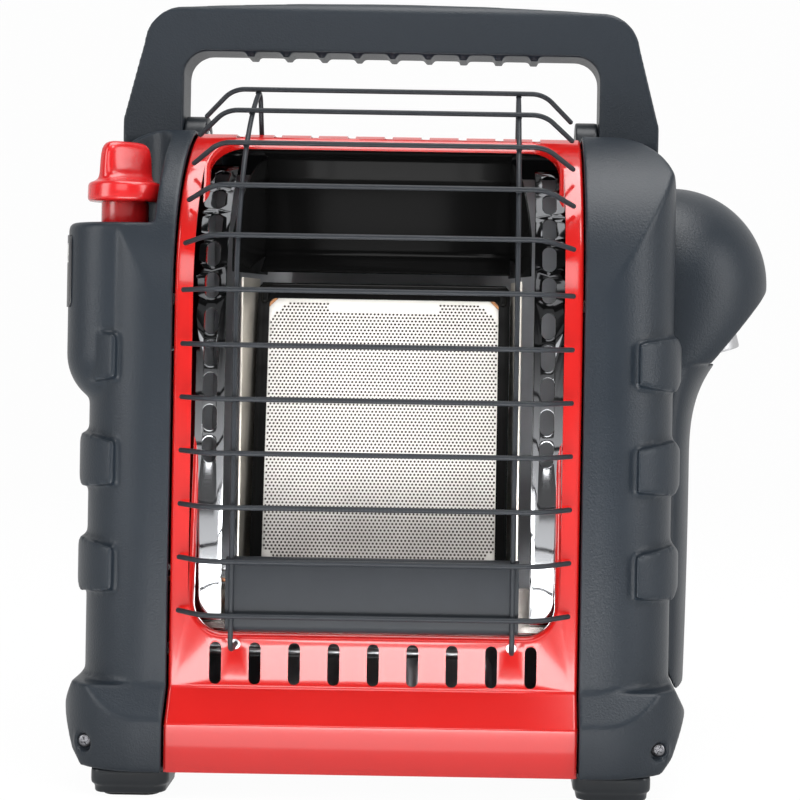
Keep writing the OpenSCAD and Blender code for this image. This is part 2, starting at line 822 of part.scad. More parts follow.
module base_pan() {
    y0 = 0.8 + panel_t - apron_out;
    slot_l = 30;
    slot_step = [50, 40];
    color(dark_steel) centred() difference() {
        plan_slab(pan_z, pan_top) {
            corner_plan_2d(0, pan_half, y0, body_back - wall - 1, front_r - 2, back_r - 2);
            mirror([1, 0]) corner_plan_2d(0, pan_half, y0, body_back - wall - 1, front_r - 2, back_r - 2);
        }
        for (i = [-1:1], k = [1:3])
            translate([i * slot_step[0] - slot_l / 2, k * slot_step[1], pan_z - 1])
                cube([slot_l, 5, pan_t + 2]);
    }
}

module feet_plan_2d(inset) {
    r = 6;
    for (y = [-shell_out - 4, body_back - foot_d - 2])
        rounded_2d(foot_x0 + inset, y + inset, foot_x0 + foot_w - inset, y + foot_d - inset, r);
}

module feet() {
    edge = 4;
    color(charcoal) centred() both_sides() {
        plan_slab(foot_pad_h + edge, body_z - seat) feet_plan_2d(0);
        plan_slab(foot_pad_h, foot_pad_h + edge) feet_plan_2d(1.5);
    }
}

module foot_pads() {
    color(black) centred() both_sides() plan_slab(0, foot_pad_h) feet_plan_2d(5);
}

pipe_gap = 1;
feed_r = 3.2;
feed_drop = 15;
feed_aside = 8.6;
pilot_pipe_r = 1.5;

module chassis_2d() {
    intersection() {
        panel_2d(panel_t + 1.4);
        translate([chassis_front, pan_top]) square([panel_back - chassis_front, top_z]);
    }
    translate([panel_back - 1, pan_top]) square([deck_y1 - wall - panel_back, top_z - wall - 1 - pan_top]);
    translate([deck_y1 - wall - 3, pan_top])
        square([chassis_back - deck_y1 + wall + 3, shoulder_z - wall - 1 - pan_top]);
}

module chassis_hole(y, z, pipe) {
    translate([0, y, z]) rod_x(chassis_x - 13, chassis_x + 7, pipe + pipe_gap);
}

module chassis_sides() {
    color(steel) centred() both_sides() difference() {
        side_slab(chassis_x - chassis_t, chassis_x) chassis_2d();
        chassis_hole(elbow_y, swivel_z - feed_drop, feed_r);
        chassis_hole(gas_y - burner_step, pipe_run_z, burner_pipe_r);
        chassis_hole(pilot_y, pilot_run_z, pilot_pipe_r);
        for (y = [pilot_y, pilot_y + lead_step]) chassis_hole(y, lead_run_z, lead_r);
    }
}

module heat_shield() {
    shield_gap = 35;
    y = tile_y + tile_t + plenum_d + shield_gap;
    color(steel) centred() translate([-inner_half, y, pan_top + seat])
        cube([2 * inner_half, chassis_t, shoulder_z - pan_top - 1]);
}

module handle_brackets() {
    r = bracket_d / 2;
    x0 = chassis_x + seat;
    color(charcoal) centred() both_sides() difference() {
        side_slab(x0, bracket_x1) {
            translate([pivot_y, pivot_z]) circle(r);
            translate([pivot_y - r, bracket_z0]) square([2 * r, pivot_z - bracket_z0]);
        }
        translate([0, pivot_y, pivot_z]) rod_x(x0 - 1, bracket_x1 + 1, pin_r + pin_fit);
    }
}

module handle_pins() {
    color(steel) centred() both_sides() translate([0, pivot_y, pivot_z])
        rod_x(chassis_x + free_gap, pin_end, pin_r);
}

function arc_points(c, r, a0, a1, n = 8) =
    [for (i = [0:n]) c + r * [cos(a0 + (a1 - a0) * i / n), sin(a0 + (a1 - a0) * i / n)]];

module handle_outline_2d() {
    shoulder = handle_half - 10;
    corner_r = 20;
    crown_z = handle_top - 4.5;
    right = concat(
        [[handle_half, pivot_z - 12], [handle_half, pivot_z + 8]],
        arc_points([shoulder - corner_r, crown_z - corner_r + 1], corner_r, 5, 78),
        [[handle_half - 48, handle_top - 2.6], [handle_half - 90, handle_top - 0.8]]
    );
    left = [for (i = [len(right) - 1:-1:0]) [-right[i][0], right[i][1]]];
    polygon(concat(right, [[0, handle_top]], left));
}

module carry_handle() {
    grip_z = handle_top - handle_bar;
    top_r = 7;
    rib = [4, 2.2];
    color(charcoal) centred() difference() {
        union() {
            intersection() {
                front_slab(leg_y0, leg_y1) difference() {
                    handle_outline_2d();
                    rounded_2d(-grip_half, pivot_z - 40, grip_half, grip_z, 12);
                }
                side_slab(-handle_half, handle_half) {
                    translate([pivot_y, pivot_z]) circle(handle_d / 2);
                    translate([leg_y0, pivot_z]) square([handle_d, handle_top - top_r - pivot_z]);
                    translate([leg_y0 + top_r, pivot_z]) square([handle_d - 2 * top_r, handle_top - pivot_z]);
                    for (y = [leg_y0 + top_r, leg_y1 - top_r])
                        translate([y, handle_top - top_r]) circle(top_r);
                }
            }
            for (i = [0:rib_n - 1]) translate([
                (i - (rib_n - 1) / 2) * rib_pitch - rib[0] / 2, leg_y0 + 2, grip_z - rib[1]
            ]) cube([rib[0], handle_d - 4, rib[1] + 1]);
        }
        both_sides() translate([0, pivot_y, pivot_z]) rod_x(grip_half - 1, pin_end + 0.5, pin_r + pin_fit);
    }
}

strip_in = 10;
strip_x0 = inner_half - 19.7;
oval_w = 6.6;
oval_l = 12;
oval_pitch = 15;
oval_z0 = 159;
oval_low_n = 5;
oval_top_n = 5;

module side_strip() {
    x = (strip_x0 + inner_half) / 2 - 3;
    x1 = inner_half;
    difference() {
        intersection() {
            side_slab(strip_x0, x1) difference() {
                panel_2d(strip_in);
                panel_2d(strip_in + 1);
            }
            translate([0, -50, window_z0 + 4]) cube([200, 50 + panel_back - 14, top_z - window_z0 - 20]);
        }
        for (i = [0:oval_low_n - 1])
            front_slab(0, strip_in + 5) translate([x, oval_z0 + i * oval_pitch]) slot_2d(oval_w, oval_l);
        for (i = [0:oval_top_n - 1])
            translate([0, panel_r, curve_z]) rotate([-(i + 0.35) * 11.3, 0, 0])
                front_slab(-panel_r, 5 + strip_in - panel_r) translate([x, 0]) slot_2d(oval_w, oval_l);
    }
}

module side_strip_left() {
    color(steel) centred() mirror([1, 0, 0]) side_strip();
}

module side_strip_right() {
    color(steel) centred() side_strip();
}

splay = [[frame_half + 0.8, 50], [frame_half + 5, 20]];
mirror_z1 = tile_z + tile_h + 7;

module side_mirror() {
    plan_slab(tile_z - 3, mirror_z1) sheet_2d(splay, 1);
}

module side_mirror_left() {
    color(steel) centred() mirror([1, 0, 0]) side_mirror();
}

module side_mirror_right() {
    color(steel) centred() side_mirror();
}

// the black deflector over the burner: a bent sheet with two splayed cheeks
module hood() {
    z0 = mirror_z1 + 1.5;
    top_gap = 8.3;
    hood_h = 51;
    top = top_z - top_gap;
    line = [[52, top], [64, top - 1.5], [70, top - hood_h / 4], [66, top - hood_h], [47, z0 + 2]];
    color(black) centred() {
        side_slab(-frame_half, frame_half) sheet_2d(line, 1);
        side_slab(-inner_half, inner_half) sheet_2d([line[0] + [1, 0.5], line[1] + [-1, 0.6]], 1);
        both_sides() intersection() {
            plan_slab(z0 + 1, top - 1) sheet_2d([[frame_half - 0.4, 69], [strip_x0 - 1.5, 18]], 1);
            side_slab(0, panel_half) panel_2d(strip_in + 2);
        }
    }
}

module lower_reflector() {
    color(steel) centred() side_slab(-inner_half, inner_half)
        sheet_2d([[rim_d + 0.9, window_z0 + 0.8], [13, window_z0 + 4], [22.2, tile_z - 5.6]], 1);
}

module leaning() {
    translate([0, tile_y, tile_z]) rotate([-tile_tilt, 0, 0]) children();
}

module burner_frame() {
    lip = 1.5;
    inner = tile_w / 2 + gasket_t + pin_fit;
    color(black) centred() leaning() {
        difference() {
            front_slab(-frame_lip, tile_t) rounded_2d(-frame_half, frame_z0, frame_half, frame_z1, 4);
            front_slab(0, tile_t + 1)
                translate([-inner, -gasket_t - pin_fit])
                    square([2 * inner, tile_h + 2 * gasket_t + 2 * pin_fit]);
            front_slab(-frame_lip - 1, 1)
                rounded_2d(-tile_w / 2 + lip, lip, tile_w / 2 - lip, tile_h - lip, 3);
        }
        translate([0, -frame_lip, frame_z1 - 1.8]) rod_x(-frame_half + 2, frame_half - 2, 1.8);
    }
}

module tile_outline_2d(grow) {
    clip = 7;
    w = tile_w / 2 + grow;
    h = tile_h + grow;
    polygon([
        [-w + clip, -grow], [w - clip, -grow], [w, clip - grow], [w, h - clip],
        [w - clip, h], [clip - w, h], [-w, h - clip], [-w, clip - grow]
    ]);
}

module ceramic_tile() {
    recess = 0.6;
    color(cream) centred() leaning() difference() {
        front_slab(seat, tile_t) tile_outline_2d(0);
        front_slab(-1, seat + recess) rounded_2d(4.5 - tile_w / 2, 5, tile_w / 2 - 4.5, tile_h - 6, 3);
    }
}

module tile_gasket() {
    color([0.62, 0.40, 0.25]) centred() leaning() front_slab(seat, tile_t) difference() {
        tile_outline_2d(gasket_t);
        tile_outline_2d(pin_fit);
    }
}

module burner_plenum() {
    t = 1;
    y0 = tile_t + seat;
    color(dark_steel) centred() leaning() difference() {
        translate([-frame_half, y0, frame_z0]) cube([2 * frame_half, plenum_d, frame_z1 - frame_z0]);
        translate([t - frame_half, y0 - 1, frame_z0 + t])
            cube([2 * (frame_half - t), plenum_d + 1 - t, frame_z1 - frame_z0 - 2 * t]);
        translate([venturi_x, venturi_y, frame_z0 - 1]) cylinder(r = venturi_r + pin_fit, h = t + 2);
    }
}

module venturi_tube() {
    bell = 5;
    t = 1;
    color(steel) centred() leaning() translate([venturi_x, venturi_y, -venturi_l]) difference() {
        union() {
            translate([0, 0, -bell]) cylinder(r1 = venturi_r + 3, r2 = venturi_r, h = bell);
            cylinder(r = venturi_r, h = venturi_l + frame_z0 + 4);
        }
        translate([0, 0, -1]) cylinder(r = venturi_r - t, h = venturi_l + 10);
        translate([0, 0, -bell]) cylinder(r1 = venturi_r + 2, r2 = venturi_r - t, h = bell);
    }
}

burner_pipe_r = 3;
burner_step = 12;
pipe_bend = 8;
pipe_run_z = 62;
pilot_run_z = tile_z + 3;
lead_r = 1;
lead_step = 2.6;
lead_run_z = tile_z - 2.6;
jet_body_h = 10;
bracket_t = 1.2;

module gas_jet() {
    color(brass) centred() translate([venturi_x, gas_y, gas_z]) {
        translate([0, 0, -jet_body_h / 2]) cylinder(r = jet_r, h = jet_body_h, $fn = 6);
        cylinder(r = 2.5, h = jet_body_h / 2 + 7);
    }
}

module jet_bracket() {
    half = 9;
    color(steel) centred() translate([venturi_x, gas_y, pan_top]) {
        translate([-half, -half, 0]) cube([2 * half, 2 * half, bracket_t]);
        translate([-half, jet_r + seat, 0]) cube([2 * half, bracket_t, 2 * half]);
        translate([-jet_r, 1 - jet_r, 0])
            cube([2 * jet_r, 2 * jet_r - 2, gas_z - jet_body_h / 2 - pan_top]);
    }
}

pilot_x = 10 - tile_w / 2;

module pilot_bracket() {
    y1 = tile_y - frame_lip - 1.5;
    color(steel) centred() {
        translate([pilot_x - 12, pilot_y - 4, tile_z - 1.5]) cube([26, y1 - pilot_y + 4, bracket_t]);
        translate([pilot_x - 12, y1 - bracket_t, tile_z - 1.5]) cube([26, bracket_t, 6]);
    }
}

// pilot tube, thermocouple and electrode stand in a row on the pilot bracket
module pilot_burner() {
    z0 = tile_z - 1.5 + bracket_t;
    color(steel) centred() translate([pilot_x - 8, pilot_y, z0]) {
        cylinder(r = 3, h = 3);
        translate([0, 0, 3]) cylinder(r1 = 3, r2 = 2, h = 1.5);
        translate([0, 0, 4.5]) cylinder(r = 2, h = 1);
    }
}

module thermocouple() {
    z0 = tile_z - 1.5 + bracket_t;
    color(steel) centred() translate([pilot_x, pilot_y, z0]) {
        cylinder(r = 2.6, h = 2.5);
        cylinder(r = 1.5, h = 6);
    }
}

module spark_electrode() {
    z0 = tile_z - 1.5 + bracket_t;
    color(cream) centred() translate([pilot_x + 8, pilot_y, z0]) {
        cylinder(r = 2.2, h = 3.5);
        cylinder(r = 0.8, h = 6);
    }
}

module valve_bracket() {
    x1 = -chassis_x - seat;
    bracket_l = knob_x + valve_half + x1;
    color(steel) centred() {
        translate([x1 - bracket_l, valve_y0 + 1, valve_z - bracket_t])
            cube([bracket_l, piezo_y + 9 - valve_y0, bracket_t]);
        translate([x1 - bracket_t, valve_y0 + 1, valve_z - bracket_t])
            cube([bracket_t, piezo_y + 9 - valve_y0, 24]);
    }
}

module control_valve() {
    deep = push_travel + 3;
    color(brass) centred() difference() {
        union() {
            translate([-knob_x - valve_half, valve_y0 + 2, valve_z + seat / 2])
                cube([2 * valve_half, valve_y1 - valve_y0 - 2, valve_h - seat / 2]);
            translate([-knob_x, knob_y, valve_top - 1]) cylinder(r = 8, h = 1);
        }
        translate([-knob_x, knob_y, valve_top - 12 - deep]) cylinder(r = spindle_r + pin_fit, h = 14 + deep);
    }
}

// the spindle turns and slides in the valve; its collar rests on the push plate
module valve_spindle() {
    color(steel) centred() translate([-knob_x, knob_y, 0]) {
        translate([0, 0, valve_top - 12]) cylinder(r = spindle_r, h = ledge_z + 2 - valve_top + 12);
        translate([0, 0, push_z + plate_push_t]) cylinder(r = 5, h = collar_t);
    }
}

module push_plate() {
    reach = piezo_y - knob_y;
    color(steel) centred() translate([-knob_x, knob_y, push_z]) difference() {
        union() {
            cylinder(r = 8, h = plate_push_t);
            translate([-4, 0, 0]) cube([8, reach, plate_push_t]);
            translate([0, reach, 0]) cylinder(r = 4, h = plate_push_t);
        }
        translate([0, 0, -1]) cylinder(r = spindle_r + free_gap, h = plate_push_t + 2);
    }
}

module return_spring() {
    color(steel) centred() translate([-knob_x, knob_y, valve_top]) difference() {
        cylinder(r = 6.5, h = push_z - valve_top);
        translate([0, 0, -1]) cylinder(r = 5, h = push_z - valve_top + 2);
    }
}

module control_knob() {
    grip = [27, 9];
    turn = 45;
    edge = 1.5;
    color(red_paint) centred() translate([-knob_x, knob_y, 0]) difference() {
        union() {
            translate([0, 0, stem_z0]) cylinder(r = stem_r, h = flange_z - stem_z0);
            translate([0, 0, flange_z]) {
                cylinder(r = flange_r, h = flange_t - edge);
                translate([0, 0, flange_t - edge]) cylinder(r1 = flange_r, r2 = flange_r - edge, h = edge);
            }
            intersection() {
                rotate([0, 0, turn]) translate([-grip[0] / 2, -grip[1] / 2, flange_z + 1])
                    cube([grip[0], grip[1], grip_top - flange_z - 1]);
                union() {
                    translate([0, 0, flange_z]) cylinder(r = grip[0] / 2 - 1, h = grip_top - flange_z - 3);
                    translate([0, 0, grip_top - 3])
                        cylinder(r1 = grip[0] / 2 - 1, r2 = grip[0] / 2 - 4, h = 3);
                }
            }
        }
        translate([0, 0, stem_z0 - 1]) cylinder(r = spindle_r + 0.02, h = ledge_z + 3.5 - stem_z0);
    }
}

module dial_plate() {
    a = 66;
    color(black) centred() translate([-knob_x, knob_y, ledge_z - 40]) rotate([0, 0, 180 - a / 2])
        rotate_extrude(angle = a) translate([pod_r + dial_gap, 0]) square([dial_t, 34]);
}

module piezo_igniter() {
    z0 = valve_z + 0.1;
    deep = push_travel + 3;
    z1 = push_z - push_travel - 3;
    color(black) centred() translate([-knob_x, piezo_y, 0]) difference() {
        translate([0, 0, z0]) cylinder(r = piezo_r, h = z1 - z0);
        translate([0, 0, z1 - deep - 3]) cylinder(r = plunger_r + pin_fit, h = deep + 4);
    }
}

module igniter_plunger() {
    z1 = push_z - push_travel - 3;
    color(black) centred() translate([-knob_x, piezo_y, z1 - 3]) cylinder(r = plunger_r, h = push_z - z1 + 3);
}

module tip_over_switch() {
    color(black) centred() translate([-knob_x, 112, pan_top]) {
        translate([-3, -10, 0]) cube([16, 20, 3]);
        translate([0, -7, 3]) cube([12, 14, 26]);
        translate([6, 0, 29]) cylinder(r = 3, h = 6);
    }
}

module feed_pipe() {
    x0 = elbow_x0;
    half = feed_drop / 2;
    run = x0 - half * 2 + knob_x - feed_aside - pipe_bend;
    color(steel) centred() translate([x0 - seat, elbow_y, swivel_z]) rotate([0, 0, 180]) rotate([90, 0, 0])
        bent_rod(feed_r, [
            [4, half, -90, 0], [0, half, 90, 0], [run - 4, pipe_bend, 90, -90],
            [elbow_y - pipe_bend - valve_y1 - seat, 0, 0, 0]
        ]);
}

module burner_pipe() {
    x_end = venturi_x + jet_r + seat;
    x_turn = x_end + 26;
    z0 = valve_z - bracket_t - seat;
    color(steel) centred() translate([-knob_x, gas_y - burner_step, z0])
        rotate([90, 0, 0]) rotate([0, 0, -90])
            bent_rod(burner_pipe_r, [
                [z0 - pipe_run_z - pipe_bend, pipe_bend, 90, 0],
                [x_turn + knob_x - 2 * pipe_bend, pipe_bend, -90, 0],
                [pipe_run_z - gas_z - pipe_bend - burner_step / 2, burner_step / 2, 90, -90],
                [0, burner_step / 2, 90, -90],
                [x_turn - burner_step / 2 - x_end, 0, 0, 0]
            ]);
}

// thin tubes from under the valve to the pilot group: x0 is where one starts, x1 where it ends
module pilot_run(r, x0, x1, y, z) {
    z0 = valve_z - bracket_t - seat;
    bend = 6;
    translate([x0, y, z0]) rotate([90, 0, 0]) rotate([0, 0, -90])
        bent_rod(r, [[z0 - z - bend, bend, 90, 0], [x1 - x0 - bend, 0, 0, 0]]);
}

module pilot_pipe() {
    color(steel) centred() pilot_run(pilot_pipe_r, -knob_x + 13, pilot_x - 11 - seat, pilot_y, pilot_run_z);
}

module thermocouple_lead() {
    color(brass) centred() pilot_run(lead_r, -knob_x + 9, pilot_x, pilot_y, lead_run_z);
}

module igniter_lead() {
    color(cream) centred() pilot_run(lead_r, -knob_x + 4, pilot_x + 8, pilot_y + lead_step, lead_run_z);
}

elbow_x0 = body_half - wall - 14;
locknut_t = 3.4;

module swivel_elbow() {
    color(brass) centred() translate([0, 0, swivel_z]) {
        translate([0, elbow_y, 0]) rod_x(elbow_x0, swivel_x, elbow_r - 0.1);
        translate([0, elbow_y, 0]) rod_x(body_half + 0.1, body_half + 4, elbow_r + 2.5);
        translate([swivel_x, elbow_y, 0]) sphere(elbow_r);
        translate([swivel_x, 0, 0]) rod_y(dome_y + 4, elbow_y, swivel_pin_r);
    }
}

module swivel_locknut() {
    x1 = body_half - wall - seat;
    color(brass) centred() translate([0, elbow_y, swivel_z]) difference() {
        translate([x1 - locknut_t, 0, 0]) rotate([0, 90, 0]) cylinder(r = 10, h = locknut_t, $fn = 6);
        rod_x(x1 - locknut_t - 1, x1 + 1, elbow_r);
    }
}

// the swivelling regulator, in its own frame: the inlet runs down from the swivel's axis
module on_swivel() {
    translate([swivel_x, dome_y, swivel_z]) rotate([0, -inlet_lean, 0]) children();
}

body_drop = 12;
neck_up = 8;
seal_t = 2;
inlet_bore_l = 18;
seal_r = inlet_bore_r - 0.6;
inlet_tip = inlet_reach - 2;

module regulator_body() {
    color(steel) centred() on_swivel() difference() {
        union() {
            translate([0, 0, -body_drop]) cylinder(r = 16.5, h = body_drop);
            cylinder(r = 14, h = neck_up);
            rod_y(0, 20, neck_up - 0.2);
        }
        rod_y(3, 30, swivel_pin_r + pin_fit);
    }
}

module regulator_bonnet() {
    color(dark_steel) centred() on_swivel() {
        translate([0, 0, neck_up + seat / 2]) cylinder(r = 11, h = 3);
        translate([0, 0, neck_up + 3]) cylinder(r = 3, h = 2);
    }
}

module inlet_nut() {
    color(steel) centred() on_swivel() difference() {
        translate([0, 0, -inlet_tip]) cylinder(r = inlet_r, h = inlet_tip - body_drop - seat / 2);
        translate([0, 0, -inlet_tip - 1]) cylinder(r = inlet_bore_r, h = inlet_bore_l + 1);
        translate([0, 0, -inlet_tip]) cylinder(r = seal_r + pin_fit, h = inlet_bore_l + seal_t);
        translate([0, 0, -inlet_tip]) cylinder(r = 3, h = inlet_tip);
    }
}

module inlet_seal() {
    color(black) centred() on_swivel() translate([0, 0, inlet_bore_l + seat / 2 - inlet_tip]) difference() {
        cylinder(r = seal_r, h = seal_t - seat);
        translate([0, 0, -1]) cylinder(r = 5, h = seal_t + 2);
    }
}

module screw(l) {
    rod_y(0.05, 2, screw_head_r);
    rod_y(2, l, screw_shank_r);
}

module skirt_screws() {
    color(steel) centred() for (s = [-1, 1])
        translate([s * screw_x, screw_y - 0.05, screw_z]) mirror([0, 0, 1]) screw(screw_boss_l - 1);
}

module rear_screws() {
    l = body_back - chassis_back - 3;
    color(steel) centred() for (s = [-1, 1], z = rear_screw_zs)
        translate([s * rear_screw_x, body_back - 0.45, z]) mirror([0, 1, 0]) screw(l);
}

front_panel();
guard_bars();
guard_uprights();
guard_plate();
guard_clips();
side_shell_left();
side_shell_right();
regulator_cover();
rear_cover();
base_pan();
feet();
foot_pads();
chassis_sides();
heat_shield();
handle_brackets();
carry_handle();
handle_pins();
side_strip_left();
side_strip_right();
side_mirror_left();
side_mirror_right();
hood();
lower_reflector();
burner_frame();
ceramic_tile();
tile_gasket();
burner_plenum();
venturi_tube();
gas_jet();
jet_bracket();
pilot_bracket();
pilot_burner();
thermocouple();
spark_electrode();
valve_bracket();
control_valve();
valve_spindle();
push_plate();
return_spring();
control_knob();
dial_plate();
piezo_igniter();
igniter_plunger();
tip_over_switch();
feed_pipe();
burner_pipe();
pilot_pipe();
thermocouple_lead();
igniter_lead();
swivel_elbow();
swivel_locknut();
regulator_body();
regulator_bonnet();
inlet_nut();
inlet_seal();
skirt_screws();
rear_screws();
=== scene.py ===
import math

import bmesh
import bpy
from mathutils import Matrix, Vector
from mathutils.geometry import delaunay_2d_cdt


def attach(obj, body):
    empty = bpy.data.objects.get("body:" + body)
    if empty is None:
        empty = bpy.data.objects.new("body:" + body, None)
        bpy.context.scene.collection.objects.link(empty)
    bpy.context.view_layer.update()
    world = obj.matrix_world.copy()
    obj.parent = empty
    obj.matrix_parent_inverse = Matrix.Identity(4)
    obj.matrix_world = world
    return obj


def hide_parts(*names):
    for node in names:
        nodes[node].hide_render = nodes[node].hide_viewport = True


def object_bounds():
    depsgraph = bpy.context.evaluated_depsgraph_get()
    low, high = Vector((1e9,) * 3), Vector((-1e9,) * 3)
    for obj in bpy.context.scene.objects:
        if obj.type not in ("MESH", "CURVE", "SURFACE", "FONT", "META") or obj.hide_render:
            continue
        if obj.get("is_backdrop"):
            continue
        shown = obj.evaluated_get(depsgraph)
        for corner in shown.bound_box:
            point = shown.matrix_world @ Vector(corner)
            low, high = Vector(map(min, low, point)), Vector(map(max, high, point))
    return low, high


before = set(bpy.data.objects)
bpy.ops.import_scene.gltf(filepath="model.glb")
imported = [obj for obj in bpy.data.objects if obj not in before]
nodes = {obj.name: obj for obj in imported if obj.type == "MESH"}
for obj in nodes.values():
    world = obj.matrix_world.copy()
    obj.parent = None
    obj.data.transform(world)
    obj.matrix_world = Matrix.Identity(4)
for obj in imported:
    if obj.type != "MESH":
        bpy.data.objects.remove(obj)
cad_low, cad_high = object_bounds()

# ---- Camera ----
# The photograph looks square on at the front, from a little right of the burner and
# at about the height of the tile's middle, through a long lens with its frame shifted.
MIDDLE_X, MIDDLE_Y = 22.15, 78.4  # millimetres from the red front's middle to the frame's axis


def at(x, y, z):
    """A place in millimetres, measured from the middle of the red front's face, in the frame's metres."""
    return Vector(((x - MIDDLE_X) / 1000, (y - MIDDLE_Y) / 1000, z / 1000))


CAMERA_SPOT = at(50.7, -800, 220)
CAMERA_LENS = 78.0
CAMERA_SHIFT = (-0.1105, -0.0956)
CAMERA_ROLL = math.radians(-0.97)

camera_data = bpy.data.cameras.new("camera")
camera_data.lens = CAMERA_LENS
camera_data.sensor_width = 36.0
camera_data.shift_x, camera_data.shift_y = CAMERA_SHIFT
camera_data.clip_start = 0.01
camera = bpy.data.objects.new("camera", camera_data)
bpy.context.scene.collection.objects.link(camera)
camera.location = CAMERA_SPOT
camera.rotation_euler = (math.radians(90), CAMERA_ROLL, 0)
bpy.context.scene.camera = camera
bpy.context.scene.view_settings.view_transform = "Standard"

# ---- Floor, backdrop and lights ----
# A sheet of white studio paper that curves up behind the heater, softboxes to the left,
# right and above, bright cards on the floor in front, and a grey surround.
PAPER_BACK = 2.4
PAPER_FRONT = -24.0
PAPER_HALF = 24.0
PAPER_HIGH = 12.0
PAPER_BEND = 1.0
PAPER_COLOURS = ((0.84, 0.84, 0.84, 1), (0.86, 0.86, 0.86, 1))
PAPER_CELLS = 6.0
SURROUND_COLOUR = (1.0, 1.0, 1.0, 1)
SURROUND_LIGHT = 0.14
PAPER_GLOW = 0.97


def new_material(name):
    """An empty node material and its tree."""
    material = bpy.data.materials.new(name)
    material.use_nodes = True
    material.node_tree.nodes.clear()
    return material, material.node_tree


def add_node(tree, kind, entries=(), **traits):
    """A new shader node. An entry that is another node's socket is linked, and any other is set."""
    made = tree.nodes.new("ShaderNode" + kind)
    for trait, value in traits.items():
        setattr(made, trait, value)
    for entry, value in dict(entries).items():
        if isinstance(value, bpy.types.NodeSocket):
            tree.links.new(value, made.inputs[entry])
        else:
            made.inputs[entry].default_value = value
    return made


def worked_out(tree, operation, *values):
    """What the operation makes of the values."""
    return add_node(tree, "Math", enumerate(values), operation=operation).outputs[0]


def noise(tree, cells, detail=2.0, spot=None):
    """A cloudy pattern between 0 and 1, with that many cells a metre."""
    entries = {"Scale": cells, "Detail": detail}
    if spot is not None:
        entries["Vector"] = spot
    return add_node(tree, "TexNoise", entries).outputs["Fac"]


def blend(tree, share, first, second, way="MIX"):
    """A colour that goes from the first to the second as the share goes from 0 to 1."""
    return add_node(tree, "Mix", {0: share, 6: first, 7: second}, data_type="RGBA", blend_type=way).outputs[2]


def spread(tree, value, before=(0, 1), after=(0, 1), way="LINEAR"):
    """The value moved from one range to another."""
    ends = zip(("From Min", "From Max", "To Min", "To Max"), tuple(before) + tuple(after))
    entries = dict(ends, Value=value)
    return add_node(tree, "MapRange", entries, interpolation_type=way).outputs[0]


def raised(tree, pattern, height):
    """A normal that stands the pattern up by a height in metres."""
    return add_node(tree, "Bump", {"Height": pattern, "Strength": 1.0, "Distance": height}).outputs[0]


def climb(tree, spot, low, high):
    """0 below one height in metres, 1 above another, and smooth in between."""
    split = add_node(tree, "SeparateXYZ", {0: spot})
    return spread(tree, split.outputs["Z"], (low, high), way="SMOOTHSTEP")


def new_piece(name, points, faces, smooth=True):
    """A mesh object from points in metres and lists of corner numbers."""
    mesh = bpy.data.meshes.new(name)
    mesh.from_pydata([tuple(p) for p in points], [], faces)
    mesh.validate()
    mesh.update()
    piece = bpy.data.objects.new(name, mesh)
    bpy.context.scene.collection.objects.link(piece)
    for face in mesh.polygons:
        face.use_smooth = smooth
    return piece


def paper_sheet():
    """The floor with its rounded rise into the backdrop."""
    rows = [(PAPER_FRONT, 0.0), (0.0, 0.0)]
    for step in range(13):
        turn = math.radians(90 * step / 12)
        back = PAPER_BACK - PAPER_BEND * (1 - math.sin(turn))
        rows.append((back, PAPER_BEND * (1 - math.cos(turn))))
    rows.append((PAPER_BACK, PAPER_HIGH))
    points = [(side * PAPER_HALF, y, z) for y, z in rows for side in (-1, 1)]
    faces = [(2 * i, 2 * i + 1, 2 * i + 3, 2 * i + 2) for i in range(len(rows) - 1)]
    return new_piece("studio_paper", points, faces)


def seen_directly(tree):
    """1 for rays from the camera, or off or through metal and glass, and 0 for the light on the object."""
    path = add_node(tree, "LightPath").outputs
    straight = worked_out(tree, "MAXIMUM", path["Is Camera Ray"], path["Is Glossy Ray"])
    return worked_out(tree, "MAXIMUM", straight, path["Is Transmission Ray"])


paper = paper_sheet()
material, tree = new_material("studio_paper")
matt = add_node(tree, "BsdfDiffuse", {"Color": blend(tree, noise(tree, PAPER_CELLS), *PAPER_COLOURS)})
glow = add_node(tree, "Emission", {"Strength": 1.0})
share = worked_out(tree, "MULTIPLY", seen_directly(tree), PAPER_GLOW)
paper_mix = add_node(tree, "MixShader", {0: share, 1: matt.outputs[0], 2: glow.outputs[0]})
add_node(tree, "OutputMaterial", {"Surface": paper_mix.outputs[0]})
paper.data.materials.append(material)
paper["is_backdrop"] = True

world = bpy.data.worlds.new("surround")
bpy.context.scene.world = world
world.use_nodes = True
world.node_tree.nodes.clear()
surround = add_node(world.node_tree, "Background", {"Color": SURROUND_COLOUR, "Strength": SURROUND_LIGHT})
add_node(world.node_tree, "OutputWorld", {"Surface": surround.outputs[0]})

